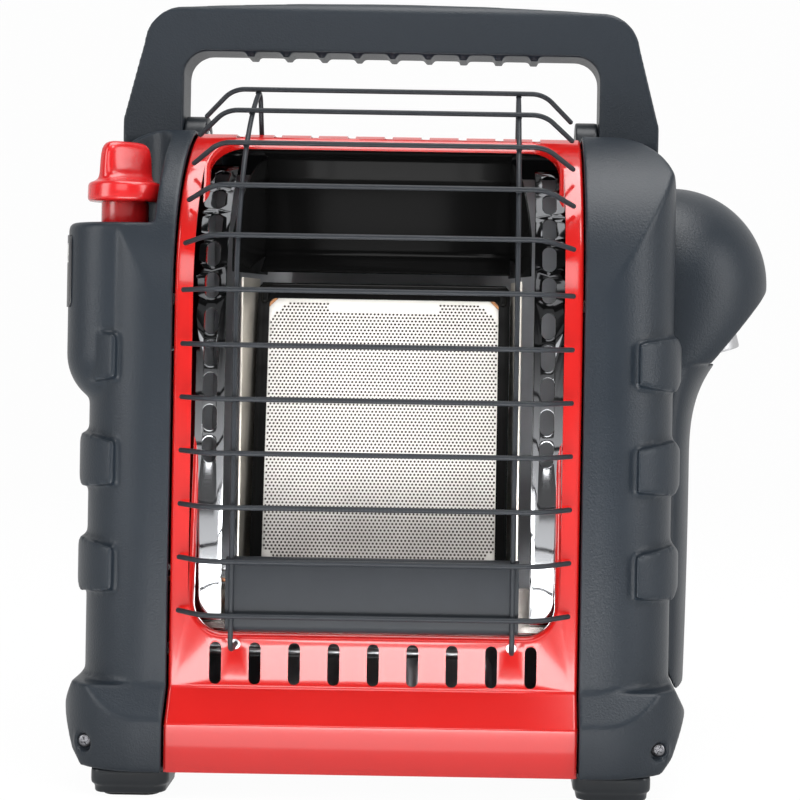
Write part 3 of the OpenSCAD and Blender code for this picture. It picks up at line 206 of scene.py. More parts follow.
# name, place and aim in metres, width and height in metres, power in watts
SOFTBOXES = [
    ("left_box", (-1.1, -0.75, 0.55), (0.0, 0.0, 0.2), 0.5, 1.1, 13.0),
    ("right_box", (1.2, -0.55, 0.5), (0.0, 0.0, 0.2), 0.5, 1.1, 13.0),
    ("top_box", (0.1, -0.25, 1.35), (0.0, 0.0, 0.2), 1.0, 0.8, 22.0),
    ("front_box", (-0.15, -1.6, 0.75), (0.0, 0.0, 0.2), 0.9, 0.5, 6.5),
    ("shoulder_box", (0.55, -0.8, 1.15), (0.1, 0.0, 0.28), 0.35, 0.35, 4.5),
    ("low_card", (0.0, -0.36, 0.003), (0.0, -0.36, 1.0), 0.46, 0.24, 3.8),
    ("near_card", (0.0, -0.185, 0.003), (0.0, -0.185, 1.0), 0.46, 0.09, 0.25),
]
for box_name, spot, aim, box_width, box_height, power in SOFTBOXES:
    lamp_data = bpy.data.lights.new(box_name, "AREA")
    lamp_data.shape = "RECTANGLE"
    lamp_data.size, lamp_data.size_y = box_width, box_height
    lamp_data.energy = power
    lamp = bpy.data.objects.new(box_name, lamp_data)
    bpy.context.scene.collection.objects.link(lamp)
    lamp.location = spot
    lamp.rotation_euler = (Vector(aim) - Vector(spot)).to_track_quat("-Z", "Y").to_euler()

# ---- Front panel ----
# One pressed sheet of 1 mm steel in glossy red enamel: an apron under a fold, vent slots, a big
# window with a rolled-in rim, and a broad curve over the top. It is screwed to the chassis sides.
SHEET = 1.0
CUT_EDGE = 0.22
PANEL_HALF = 94.5
EDGE_ROLL = 1.8
FLANGE = 5.0
APRON_BOTTOM, PANEL_TOP = 13.0, 311.3
# corners of the sheet's side view: depth, height and bend radius
PANEL_FOLDS = [(-10, APRON_BOTTOM, 0), (-10, 35, 2.2), (0, 50, 3.0),
               (0, 290.58, 85.5), (56.28, PANEL_TOP, 2.0), (72, PANEL_TOP, 0)]
ABOVE_APRON = 45.0  # heights are looked for above this, where each is met once
WINDOW_HALF, WINDOW_LOW, WINDOW_HIGH, WINDOW_CORNER = 83.5, 75.2, 308.3, 14.0
RIM_ROLL, RIM_DEPTH = 2.4, 5.0
VENT_COUNT, VENT_PITCH, VENT_WIDTH, VENT_LENGTH, VENT_MIDDLE = 9, 18.2, 5.5, 19.5, 61.25
GUARD_X, GUARD_FOOT, GUARD_TAIL_Y, WIRE_HOLE = 63.7, 70.0, 63.33, 4.8
TOP_SLOT_WIDTH, TOP_SLOT_LOW, TOP_SLOT_BACK = 4.0, GUARD_TAIL_Y - 12, 15.0
RED_ENAMEL = (0.33, 0.006, 0.005)


class FoldedLine:
    """The side view of a folded sheet, run along by its length s, with depth d measured inwards."""

    def __init__(self, corners, step=5.0):
        self.points, self.normals = [], []
        for i, (y, z, radius) in enumerate(corners):
            here = Vector((y, z))
            if i in (0, len(corners) - 1):
                other = Vector(corners[1 if i == 0 else i - 1][:2])
                run = (other - here) if i == 0 else (here - other)
                self.add(here, run.normalized())
                continue
            run_in = (here - Vector(corners[i - 1][:2])).normalized()
            run_out = (Vector(corners[i + 1][:2]) - here).normalized()
            turn = math.atan2(run_in.x * run_out.y - run_in.y * run_out.x, run_in.dot(run_out))
            start = here - run_in * radius * math.tan(abs(turn) / 2)
            centre = start + Vector((-run_in.y, run_in.x)) * radius * math.copysign(1, turn)
            count = max(2, math.ceil(math.degrees(abs(turn)) / step))
            for k in range(count + 1):
                part = turn * k / count
                self.add(centre + turned(start - centre, part), turned(run_in, part))
        self.lengths = [0.0]
        for a, b in zip(self.points, self.points[1:]):
            self.lengths.append(self.lengths[-1] + (b - a).length)

    def add(self, point, run):
        self.points.append(point)
        self.normals.append(Vector((run.y, -run.x)))

    def place(self, x, s, d):
        """The point at length s, d under the outer face, in the frame's metres."""
        s = min(max(s, 0.0), self.lengths[-1])
        i = 1
        while i < len(self.lengths) - 1 and self.lengths[i] < s:
            i += 1
        share = (s - self.lengths[i - 1]) / (self.lengths[i] - self.lengths[i - 1])
        point = self.points[i - 1].lerp(self.points[i], share)
        normal = self.normals[i - 1].lerp(self.normals[i], share).normalized()
        point = point + normal * d
        return at(x, point.x, point.y)

    def length_at(self, value, axis):
        """The length at which the line first reaches a height (axis 1) or, over the top, a depth (axis 0)."""
        for i in range(1, len(self.points)):
            a, b = self.points[i - 1][axis], self.points[i][axis]
            if min(a, b) <= value <= max(a, b) and b > a and self.points[i].y > ABOVE_APRON:
                return self.lengths[i - 1] + (self.lengths[i] - self.lengths[i - 1]) * (value - a) / (b - a)
        raise ValueError(value)


def turned(vector, angle):
    """The flat vector turned anticlockwise, in radians."""
    return Vector((vector.x * math.cos(angle) - vector.y * math.sin(angle),
                   vector.x * math.sin(angle) + vector.y * math.cos(angle)))


def slot_loop(x, z, width, length, steps=8):
    """Corners of a slot with round ends, long way up."""
    loop = []
    for side in (1, -1):
        for k in range(steps + 1):
            angle = math.pi * k / steps + (0 if side > 0 else math.pi)
            end_z = z + side * (length - width) / 2
            loop.append((x + width / 2 * math.cos(angle), end_z + width / 2 * math.sin(angle)))
    return loop


def rounded_loop(x0, z0, x1, z1, radius, steps=8):
    """Corners of a rounded rectangle."""
    loop = []
    for cx, cz, begin in ((x1 - radius, z1 - radius, 0), (x0 + radius, z1 - radius, 90),
                          (x0 + radius, z0 + radius, 180), (x1 - radius, z0 + radius, 270)):
        for k in range(steps + 1):
            angle = math.radians(begin + 90 * k / steps)
            loop.append((cx + radius * math.cos(angle), cz + radius * math.sin(angle)))
    return loop


def inside(point, loop):
    """Whether a flat point lies within the loop."""
    x, y = point
    hit = False
    for (x0, y0), (x1, y1) in zip(loop, loop[1:] + loop[:1]):
        if (y0 > y) != (y1 > y) and x < (x1 - x0) * (y - y0) / (y1 - y0) + x0:
            hit = not hit
    return hit


def loop_edges(first, count):
    """Edges from each corner to the next, and from the last to the first."""
    return [(first + k, first + (k + 1) % count) for k in range(count)]


def triangulated(corners, edges, holes):
    """Flat points and the triangles between the edges, apart from those in the holes."""
    flat, _, triangles, *_ = delaunay_2d_cdt(corners, edges, [], 0, 1e-5)
    kept = []
    for triangle in triangles:
        middle = sum((flat[i] for i in triangle), Vector((0, 0))) / len(triangle)
        if not any(inside(middle, loop) for loop in holes):
            kept.append(list(triangle))
    return flat, kept


def pressed_sheet(half, line, holes):
    """Points (x, s, 0) and faces of a bent sheet between -half and half; each hole is a loop of (x, s)."""
    verts = [Vector((x, s)) for s in line.lengths for x in (-half, half)]
    rows = len(line.lengths)
    edges = [(2 * i, 2 * i + 1) for i in range(rows)]
    edges += [(2 * i + e, 2 * i + 2 + e) for i in range(rows - 1) for e in (0, 1)]
    for loop in holes:
        first = len(verts)
        verts += [Vector(p) for p in loop]
        edges += loop_edges(first, len(loop))
    flat, faces = triangulated(verts, edges, holes)
    return [(p.x, p.y, 0.0) for p in flat], faces


def join_rings(points, faces, rings, closed=True):
    """Adds quads between rings of equal length; each ring is a list of points."""
    start = len(points)
    count = len(rings[0])
    for ring in rings:
        points += ring
    for k in range(len(rings) - 1):
        for i in range(count if closed else count - 1):
            j = (i + 1) % count
            a, b = start + k * count, start + (k + 1) * count
            faces.append((a + i, a + j, b + j, b + i))


def loft(name, rings, ends=True):
    """A piece through rings of equal length, closed by a flat face at each end."""
    points, faces = [], []
    join_rings(points, faces, rings)
    count = len(rings[0])
    if ends:
        faces.append(tuple(range(count - 1, -1, -1)))
        faces.append(tuple(range(len(points) - count, len(points))))
    return new_piece(name, points, faces)


def weld(piece, distance=1e-7, outwards=True):
    """Joins doubled corners and, if asked, turns every face outwards."""
    build = bmesh.new()
    build.from_mesh(piece.data)
    bmesh.ops.remove_doubles(build, verts=build.verts, dist=distance)
    if outwards:
        bmesh.ops.recalc_face_normals(build, faces=build.faces)
    build.to_mesh(piece.data)
    build.free()


def apply_modifiers(piece):
    """Leaves the piece with the mesh that its modifiers make."""
    evaluated = piece.evaluated_get(bpy.context.evaluated_depsgraph_get())
    mesh = bpy.data.meshes.new_from_object(evaluated)
    piece.modifiers.clear()
    piece.data = mesh


def crisp(piece, angle=35):
    """Smooth shading that stops at edges sharper than the angle."""
    for face in piece.data.polygons:
        face.use_smooth = True
    piece.data.set_sharp_from_angle(angle=math.radians(angle))


def ease_edges(piece, width, segments, angle):
    """Rounds the edges sharper than the angle, width in millimetres."""
    ease = piece.modifiers.new("edge", "BEVEL")
    ease.width = width / 1000
    ease.segments = segments
    ease.limit_method = "ANGLE"
    ease.angle_limit = math.radians(angle)


def thicken(piece, thickness, offset, edge, segments=2):
    """Makes a sheet of the piece's face: offset -1 grows it behind the face, 0 to both sides, 1 before it."""
    solid = piece.modifiers.new("sheet", "SOLIDIFY")
    solid.thickness = thickness / 1000
    solid.offset = offset
    ease_edges(piece, edge, segments, 60)
    apply_modifiers(piece)
    crisp(piece, 40)


panel_line = FoldedLine(PANEL_FOLDS)


def up_panel(x, z):
    """Across and along the sheet, for a height on its front."""
    return (x, panel_line.length_at(z, 1))


def over_panel(x, y):
    """Across and along the sheet, for a depth on its top."""
    return (x, panel_line.length_at(y, 0))


def window_ring(grow, depth):
    """The window's outline, grown and set back."""
    ring = rounded_loop(-WINDOW_HALF - grow, WINDOW_LOW - grow, WINDOW_HALF + grow, WINDOW_HIGH + grow * 0.5,
                        WINDOW_CORNER + grow, 10)
    return [up_panel(x, z) + (depth,) for x, z in ring]


holes = [[(x, s) for x, s, _ in window_ring(RIM_ROLL, 0)]]
vent_places = [(i - (VENT_COUNT - 1) / 2) * VENT_PITCH for i in range(VENT_COUNT)]
for x in vent_places:
    holes.append([up_panel(px, pz) for px, pz in slot_loop(x, VENT_MIDDLE, VENT_WIDTH, VENT_LENGTH)])
    slot = rounded_loop(x - TOP_SLOT_WIDTH / 2, TOP_SLOT_LOW,
                        x + TOP_SLOT_WIDTH / 2, TOP_SLOT_LOW + TOP_SLOT_BACK, 1, 3)
    holes.append([over_panel(px, py) for px, py in slot])
for x in (-GUARD_X, GUARD_X):
    holes.append([up_panel(px, pz) for px, pz in slot_loop(x, GUARD_FOOT, WIRE_HOLE, WIRE_HOLE)])
    holes.append([over_panel(px, py) for px, py in slot_loop(x, GUARD_TAIL_Y, WIRE_HOLE, WIRE_HOLE)])
panel_points, panel_faces = pressed_sheet(PANEL_HALF - EDGE_ROLL, panel_line, holes)
quarter_turn = [math.radians(90 * k / 5) for k in range(6)]
rolled = [(1 - math.sin(t), 1 - math.cos(t)) for t in quarter_turn]
rim = [window_ring(RIM_ROLL * out, RIM_ROLL * back) for out, back in rolled]
rim.append(window_ring(0, RIM_DEPTH))
join_rings(panel_points, panel_faces, rim)
for side in (-1, 1):
    edge = [(side * (PANEL_HALF - EDGE_ROLL * out), EDGE_ROLL * back) for out, back in rolled]
    edge.append((side * PANEL_HALF, FLANGE))
    join_rings(panel_points, panel_faces, [[(x, s, d) for s in panel_line.lengths] for x, d in edge], False)
panel = new_piece("front_panel_sheet", [panel_line.place(*p) for p in panel_points], panel_faces)
build = bmesh.new()
build.from_mesh(panel.data)
bmesh.ops.remove_doubles(build, verts=build.verts, dist=2e-5)
bmesh.ops.dissolve_degenerate(build, dist=1e-6, edges=build.edges)
bmesh.ops.recalc_face_normals(build, faces=build.faces)
if sum(f.normal.y * f.calc_area() for f in build.faces) > 0:
    bmesh.ops.reverse_faces(build, faces=build.faces)
build.to_mesh(panel.data)
build.free()
thicken(panel, SHEET, -1, CUT_EDGE)


def grain_coords(tree):
    """Places on the piece in metres, for its finish's patterns."""
    return add_node(tree, "TexCoord").outputs["Object"]


def surface(name, colour, roughness, metallic=0.0, mottle=(0.12, 60), swing=0.06, grain=(900, 0.01),
            coat=0.0, specular=0.5):
    """A finish with uneven colour and gloss and a fine raised grain.

    mottle is how far the colour strays and its cells a metre, swing is how far the roughness
    strays, and grain is its cells a metre and its height in millimetres.
    """
    material, tree = new_material(name)
    spot = grain_coords(tree)
    patches = noise(tree, mottle[1], 6.0, spot)
    darker = tuple(c * (1 - mottle[0]) for c in colour) + (1,)
    lighter = tuple(min(1, c * (1 + mottle[0])) for c in colour) + (1,)
    gloss_range = max(0.02, roughness - swing), min(1, roughness + swing)
    shader = add_node(tree, "BsdfPrincipled", {
        "Base Color": blend(tree, patches, darker, lighter),
        "Roughness": spread(tree, patches, after=gloss_range),
        "Normal": raised(tree, noise(tree, grain[0], 3.0, spot), grain[1] / 1000),
        "Metallic": metallic, "Specular IOR Level": specular, "Coat Weight": coat, "Coat Roughness": 0.06})
    add_node(tree, "OutputMaterial", {"Surface": shader.outputs[0]})
    return material


def wear(piece, material):
    """Gives the piece this finish all over."""
    piece.data.materials.clear()
    piece.data.materials.append(material)


def fit(piece, material, node=None, body="body"):
    """Finishes the piece, puts it on its moving body and hides the CAD node it stands for."""
    wear(piece, material)
    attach(piece, body)
    if node:
        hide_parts(node)


def wear_node(names, material):
    """Finishes CAD nodes that are shown as they were loaded."""
    for name in names:
        for slot in nodes[name].material_slots:
            slot.material = material


red_enamel = surface("red_enamel", RED_ENAMEL, 0.17, mottle=(0.05, 25), swing=0.03,
                     grain=(450, 0.008), coat=0.35, specular=0.42)
fit(panel, red_enamel, "front_panel")

# ---- Wire guard ----
# Twelve bars and two uprights of 2.4 mm steel wire, cut with round ends, bent, spot-welded where
# they cross and powder-coated dark grey. The uprights' feet push through the panel into clips.
WIRE_R = 1.2
GUARD_GAP, GUARD_R = 18.0, 112.0
CURVE_Z = 230.6
BAR_LOW_COUNT, BAR_PITCH, BAR_LOWEST = 6, 24.5, 86.0
BAR_TOP_COUNT, BAR_FIRST_TURN, BAR_TURN = 6, 1.5, 12.8
BAR_HALF, BAR_BEND_R, BAR_BEND, BAR_TIP = 70.0, 14.0, 46.0, 13.5
UPRIGHT_Y = 2 * WIRE_R + 0.1 - GUARD_GAP
UPRIGHT_IN, UPRIGHT_BEND_R, UPRIGHT_ARC = 7.0, 5.0, 66.0
TAIL_BEND_R, TAIL_BEND, TAIL_LENGTH = 6.0, 94.0, 22.2
WELD_R, WELD_DEPTH = 0.55, 1.25
WELD_LINE = [(-0.9, 0.5), (0, 0.7), (0.9, 0.5)]  # across the bar, and above or below its middle
POWDER_COAT = (0.013, 0.015, 0.018)


def bent_path(start, heading, steps, turn_step=6.0):
    """Points along a bent wire in a plane. Each step is (straight, bend radius, bend angle in degrees)."""
    x, y = start
    heading = math.radians(heading)
    path = [(x, y)]
    for straight, radius, bend in steps:
        x, y = x + straight * math.cos(heading), y + straight * math.sin(heading)
        if straight:
            path.append((x, y))
        if bend:
            side = math.copysign(1, bend)
            cx, cy = x - side * radius * math.sin(heading), y + side * radius * math.cos(heading)
            count = math.ceil(abs(bend) / turn_step)
            for k in range(1, count + 1):
                angle = heading + math.radians(bend) * k / count
                path.append((cx + side * radius * math.sin(angle), cy - side * radius * math.cos(angle)))
            heading += math.radians(bend)
            x, y = path[-1]
    return path


def tube(points, faces, path, radius, sides=16, cap=5):
    """Adds a round wire along the path to points and faces, with domed ends. All in metres."""
    rings = []
    count = len(path)
    across = None
    turns = [math.radians(90 * k / cap) for k in range(1, cap)]
    round_end = [(math.cos(t), math.sin(t)) for t in turns]
    for i, spot in enumerate(path):
        run = (path[min(i + 1, count - 1)] - path[max(i - 1, 0)]).normalized()
        across = run.orthogonal() if across is None else across - run * across.dot(run)
        across.normalize()
        up = run.cross(across)
        stations = [(0, 1)]
        if i == 0:
            stations = [(-out, wide) for out, wide in round_end] + stations
        if i == count - 1:
            stations += round_end[::-1]
        for out, wide in stations:
            rings.append(circle(spot + run * radius * out, across, up, radius * wide, sides))
    start = len(points)
    join_rings(points, faces, rings)
    faces.append(tuple(range(start + sides - 1, start - 1, -1)))
    faces.append(tuple(range(len(points) - sides, len(points))))


def circle(centre, across, up, radius, sides):
    turns = [2 * math.pi * k / sides for k in range(sides)]
    return [centre + (across * math.cos(t) + up * math.sin(t)) * radius for t in turns]


def on_guard(turn, depth):
    """The depth and height of a place on the guard's upper curve, that far inside it."""
    a = math.radians(turn)
    middle = GUARD_R - GUARD_GAP
    return middle - (GUARD_R - depth) * math.cos(a), CURVE_Z + (GUARD_R - depth) * math.sin(a)


bar_places = [(BAR_LOWEST + i * BAR_PITCH, None) for i in range(BAR_LOW_COUNT)]
bar_places += [(None, BAR_FIRST_TURN + i * BAR_TURN) for i in range(BAR_TOP_COUNT)]
bend = math.radians(BAR_BEND)
tip_across = BAR_HALF + BAR_BEND_R * math.sin(bend) + BAR_TIP * math.cos(bend)
tip_depth = BAR_BEND_R * (1 - math.cos(bend)) + BAR_TIP * math.sin(bend)
bar_path = bent_path((-tip_across, tip_depth), -BAR_BEND,
                     [(BAR_TIP, BAR_BEND_R, BAR_BEND), (2 * BAR_HALF, BAR_BEND_R, BAR_BEND), (BAR_TIP, 0, 0)])
bar_points, bar_faces = [], []
weld_points, weld_faces = [], []
for height, turn in bar_places:
    path = []
    for x, depth in bar_path:
        y, z = (depth - GUARD_GAP, height) if turn is None else on_guard(turn, depth)
        path.append(at(x, y, z))
    tube(bar_points, bar_faces, path, WIRE_R / 1000)
    for x in (-GUARD_X, GUARD_X):
        y, z = (WELD_DEPTH - GUARD_GAP, height) if turn is None else on_guard(turn, WELD_DEPTH)
        for slant in (-1, 1):
            fillet = [at(x + across, y, z + slant * off) for across, off in WELD_LINE]
            tube(weld_points, weld_faces, fillet, WELD_R / 1000, 8, 3)
bars = new_piece("guard_wire_bars", bar_points, bar_faces)
welds = new_piece("guard_welds", weld_points, weld_faces)

upright_path = bent_path((-UPRIGHT_IN, GUARD_FOOT), 0, [
    (UPRIGHT_IN - UPRIGHT_Y - UPRIGHT_BEND_R, UPRIGHT_BEND_R, 90),
    (CURVE_Z - GUARD_FOOT - UPRIGHT_BEND_R, GUARD_R - GUARD_GAP - UPRIGHT_Y, UPRIGHT_ARC),
    (0, TAIL_BEND_R, TAIL_BEND), (TAIL_LENGTH, 0, 0)], 3.0)
upright_points, upright_faces = [], []
for x in (-GUARD_X, GUARD_X):
    tube(upright_points, upright_faces, [at(x, -forward, z) for forward, z in upright_path], WIRE_R / 1000)
uprights = new_piece("guard_wire_uprights", upright_points, upright_faces)
powder_coat = surface("powder_coat", POWDER_COAT, 0.40, mottle=(0.18, 90), swing=0.08,
                      grain=(1600, 0.03), specular=0.16)
for piece, node in ((bars, "guard_bars"), (uprights, "guard_uprights"), (welds, None)):
    fit(piece, powder_coat, node)

# ---- Guard plate ----
# A strip of 1.2 mm steel low on the guard with its long edges rolled back, spot-welded to the
# uprights and powder-coated with them. Its face is left bare.
PLATE_T, PLATE_LIP, PLATE_ROLL = 1.2, 4.0, 2.4
PLATE_Y = UPRIGHT_Y + WIRE_R + 0.1
PLATE_LOW, PLATE_HIGH, PLATE_HALF = 79.5, 111.0, 66.5
PLATE_EDGE = 0.35

plate_line = FoldedLine([(PLATE_Y + PLATE_LIP, PLATE_LOW, 0), (PLATE_Y, PLATE_LOW, PLATE_ROLL),
                         (PLATE_Y, PLATE_HIGH, PLATE_ROLL), (PLATE_Y + PLATE_LIP, PLATE_HIGH, 0)], 9)
plate_points, plate_faces = pressed_sheet(PLATE_HALF, plate_line, [])
plate = new_piece("guard_plate_sheet", [plate_line.place(*p) for p in plate_points], plate_faces)
thicken(plate, PLATE_T, 1, PLATE_EDGE, 3)
fit(plate, powder_coat, "guard_plate")

# ---- Side shells and rear cover ----
# Moulded in charcoal plastic with a fine spark-eroded texture and soft edges, and screwed to the
# base pan. The left one carries the knob's pod; the rear cover with its louvres closes the back.
CHARCOAL = (0.007, 0.0105, 0.015)
SHELL_VOXEL, SHELL_SOFTENING = 1.1, 9
SEAM_X = 96.5  # the shells keep their edge inside this, where they meet the red panel


def cad_copy(name, node):
    """A piece of its own with the mesh of a CAD node."""
    piece = bpy.data.objects.new(name, nodes[node].data.copy())
    bpy.context.scene.collection.objects.link(piece)
    weld(piece, 1e-6, False)
    return piece


def softened(name, node, voxel, passes, material, body="body", seam=0.0):
    """A copy of a CAD node with its edges rounded as a mould rounds them, standing for that node."""
    piece = cad_copy(name, node)
    soften(piece, voxel, passes, seam)
    fit(piece, material, node, body)


def soften(piece, voxel, passes, seam=0.0):
    """Rounds every edge; what lies within the seam of the heater's middle plane keeps its shape."""
    remesh = piece.modifiers.new("even_mesh", "REMESH")
    remesh.mode = "VOXEL"
    remesh.voxel_size = voxel / 1000
    remesh.use_smooth_shade = True
    apply_modifiers(piece)
    free = piece.vertex_groups.new(name="free")
    free.add([v.index for v in piece.data.vertices if abs(1000 * v.co.x + MIDDLE_X) >= seam], 1.0, "REPLACE")
    smooth = piece.modifiers.new("soft_edges", "SMOOTH")
    smooth.factor = 0.5
    smooth.iterations = passes
    smooth.vertex_group = "free"
    apply_modifiers(piece)
    for face in piece.data.polygons:
        face.use_smooth = True


charcoal = surface("charcoal_moulding", CHARCOAL, 0.40, mottle=(0.10, 35), swing=0.05,
                   grain=(1050, 0.15), specular=0.24)
for side in ("left", "right"):
    softened("side_shell_moulding_" + side, "side_shell_" + side, SHELL_VOXEL, SHELL_SOFTENING, charcoal,
             seam=SEAM_X)
softened("rear_cover_moulding", "rear_cover", 1.1, 4, charcoal)

# ---- Regulator dome ----
# A separate charcoal moulding clipped to the right shell: a round dome that narrows into a flank
# down the side, cut open below so that a gas cylinder can be screwed in under it.
DOME_X, DOME_Y, DOME_Z, DOME_R = 145.0, 105.0, 242.0, 50.0
DOME_RIM, FLANK_HIGH, FLANK_LOW = DOME_Z - 40.5, 150.0, 40.0
SHELL_SIDE, FLANK_OUT, FLANK_FLARE, FLANK_TAPER, WALL = 140.0, 15.5, 15.0, 1.5, 2.6
SWIVEL_X, SWIVEL_Z, MOUTH_LEAN, MOUTH_REACH = 157.5, 245.0, 49.3, 32.0
BOTTLE_R, BOTTLE_LEAN = 12.8, 15.0  # room for the gas cylinder's neck under the dome
BOTTLE_ROOM = (-102, -32)  # how far that room reaches down from the swivel
SKIRT_SLOPE = [(138.34, 56), (148.84, 35), (148.84, 0), (138.34, 0)]
CLEAR_X = 400.0  # well to the right of the heater


def dome_reach(z, inset):
    """How far right the dome and its flank reach at a height, that far inside their outer face."""
    flank = SHELL_SIDE + FLANK_OUT - inset
    if z > DOME_RIM:
        return DOME_X + math.sqrt(max(0, (DOME_R - inset) ** 2 - (z - DOME_Z) ** 2))
    if z > FLANK_HIGH:
        return flank + FLANK_FLARE * ((z - FLANK_HIGH) / (DOME_RIM + 2.5 - FLANK_HIGH)) ** 3
    return flank - FLANK_TAPER * (max(0, FLANK_HIGH - z) / (FLANK_HIGH - FLANK_LOW)) ** 2


def dome_span(z, inset):
    """Half the dome's depth at a height."""
    if z > DOME_Z:
        return math.sqrt(max(0.01, (DOME_R - inset) ** 2 - (z - DOME_Z) ** 2))
    return DOME_R - inset


def dome_solid(name, inner_x, inset):
    """The dome and its flank as one solid, flat at inner_x."""
    steps = 72
    top = DOME_Z + DOME_R - inset - 0.03
    levels = [FLANK_LOW + inset + (DOME_RIM - FLANK_LOW - inset) * i / 60 for i in range(61)]
    levels += [DOME_RIM + 0.05 + (DOME_Z - DOME_RIM) * i / 16 for i in range(17)]
    levels += [DOME_Z + (top - DOME_Z) * math.sin(math.radians(90 * i / 24)) for i in range(1, 25)]
    rings = []
    for z in levels:
        reach, span = dome_reach(z, inset) - inner_x, dome_span(z, inset)
        turns = [math.pi * k / steps for k in range(steps + 1)]
        rings.append([at(inner_x + reach * math.sin(t), DOME_Y - span * math.cos(t), z) for t in turns])
    return loft(name, rings)


def prism(name, corners, y0, y1):
    """A solid block from a front view of (x, z) corners, between two depths."""
    count = len(corners)
    points = [at(x, y, z) for y in (y0, y1) for x, z in corners]
    faces = [tuple(range(count)), tuple(range(2 * count - 1, count - 1, -1))]
    faces += [(i, count + i, count + (i + 1) % count, (i + 1) % count) for i in range(count)]
    return new_piece(name, points, faces)


def carve(piece, tool):
    """Cuts the tool out of the piece and removes the tool."""
    weld(piece)
    weld(tool)
    cut = piece.modifiers.new("cut", "BOOLEAN")
    cut.operation = "DIFFERENCE"
    cut.solver = "EXACT"
    cut.object = tool
    apply_modifiers(piece)
    bpy.data.objects.remove(tool)


dome = dome_solid("regulator_dome", SHELL_SIDE + 0.15, 0)
carve(dome, dome_solid("dome_inside", SHELL_SIDE - 1, WALL))
lean = math.radians(MOUTH_LEAN)
down, along = Vector((math.sin(lean), -math.cos(lean))), Vector((math.cos(lean), math.sin(lean)))
mouth = Vector((SWIVEL_X, SWIVEL_Z)) + down * MOUTH_REACH
low_edge = mouth - along * (mouth.y - DOME_RIM) / along.y
high_edge = mouth + along * 150
mouth_corners = [(low_edge.x, DOME_RIM), (high_edge.x, high_edge.y),
                 (CLEAR_X, high_edge.y), (CLEAR_X, DOME_RIM)]
carve(dome, prism("mouth_cut", mouth_corners, 0, 300))
carve(dome, prism("skirt_cut", SKIRT_SLOPE, 0, 200))
bottle_rings = []
for height in BOTTLE_ROOM:
    bottle_ring = []
    for k in range(48):
        a = 2 * math.pi * k / 48
        spot = turned(Vector((BOTTLE_R * math.cos(a), height)), math.radians(BOTTLE_LEAN))
        bottle_ring.append(at(SWIVEL_X + spot.x, DOME_Y + BOTTLE_R * math.sin(a), SWIVEL_Z + spot.y))
    bottle_rings.append(bottle_ring)
carve(dome, loft("bottle_room", bottle_rings))
soften(dome, 1.0, 5)
fit(dome, charcoal, "regulator_cover")

# ---- Carry handle ----
# A deep moulded bow in the same charcoal plastic with nine grip ribs under its bar. It folds back
# on two steel pins in brackets that stand up between the shells.
softened("carry_handle_moulding", "carry_handle", 0.9, 6, charcoal, "handle")
charcoal_plain = surface("charcoal_plain", (0.0075, 0.0095, 0.012), 0.38, mottle=(0.15, 50),
                         grain=(700, 0.02), specular=0.3)
softened("handle_bracket_mouldings", "handle_brackets", 0.8, 4, charcoal_plain)
softened("foot_mouldings", "feet", 0.9, 5, charcoal_plain)

# ---- Control knob ----
# Glossy red moulded plastic in one piece: a thick stem through the pod's top, a round flange and
# a finger fin that flares smoothly into it. It is pushed on to the valve's spindle.
KNOB_X, KNOB_Y = -124.0, 30.0
# height, half length, half width and squareness of the fin's cross-sections
KNOB_LEVELS = [
    (258.0, 10.6, 10.6, 2), (258.6, 11.2, 11.2, 2), (274.6, 11.2, 11.2, 2), (275.0, 12.0, 12.0, 2),
    (275.2, 16.8, 16.8, 2), (275.9, 17.5, 17.5, 2), (276.8, 17.7, 17.7, 2), (282.4, 17.6, 17.6, 2),
    (283.4, 17.3, 17.3, 2), (284.1, 16.6, 16.4, 2), (284.5, 15.6, 14.8, 2.05), (284.9, 14.9, 12.6, 2.1),
    (285.5, 14.3, 10.2, 2.2), (286.4, 13.9, 8.0, 2.4), (287.6, 13.6, 6.6, 2.7), (289.2, 13.4, 5.7, 3.0),
    (291.5, 13.3, 5.1, 3.3), (294.5, 13.1, 4.8, 3.5), (297.5, 12.8, 4.6, 3.6), (300.0, 12.3, 4.4, 3.6),
    (301.6, 11.6, 4.1, 3.4), (302.8, 10.6, 3.6, 3.1), (303.5, 9.3, 2.9, 2.8), (303.9, 7.4, 1.9, 2.5),
    (304.0, 4.8, 0.9, 2.2),
]
FIN_TURN = math.radians(45)
KNOB_RED = (0.34, 0.006, 0.007)

knob_rings = []
for height, half_length, half_width, squareness in KNOB_LEVELS:
    level = []
    for k in range(72):
        angle = 2 * math.pi * k / 72
        c, s = math.cos(angle), math.sin(angle)
        u = half_length * math.copysign(abs(c) ** (2 / squareness), c)
        v = half_width * math.copysign(abs(s) ** (2 / squareness), s)
        spot = turned(Vector((u, v)), FIN_TURN)
        level.append(at(KNOB_X + spot.x, KNOB_Y + spot.y, height))
    knob_rings.append(level)
knob = loft("control_knob_moulding", knob_rings)
crisp(knob, 50)
knob_red = surface("knob_red", KNOB_RED, 0.24, mottle=(0.06, 70), swing=0.05,
                   grain=(500, 0.008), coat=0.15, specular=0.4)
fit(knob, knob_red, "control_knob", "knob")

# ---- Dial plate ----
# A thin dark plate stuck round the pod's outer side under the knob, with four plain printed
# strokes for the knob's stops. It carries no words or signs.
POD_R, DIAL_GAP, DIAL_THICK, DIAL_EASE = 26.0, 0.1, 0.5, 0.1
DIAL_LOW, DIAL_HIGH, DIAL_SWEEP, DIAL_CORNER = 224.5, 258.5, 66.0, 3.0
STROKE_LENGTHS, STROKE_TOP, STROKE_HALF, STROKE_STEP = (9.0, 5.0, 7.0, 9.0), DIAL_HIGH - 4, 1.4, 0.22


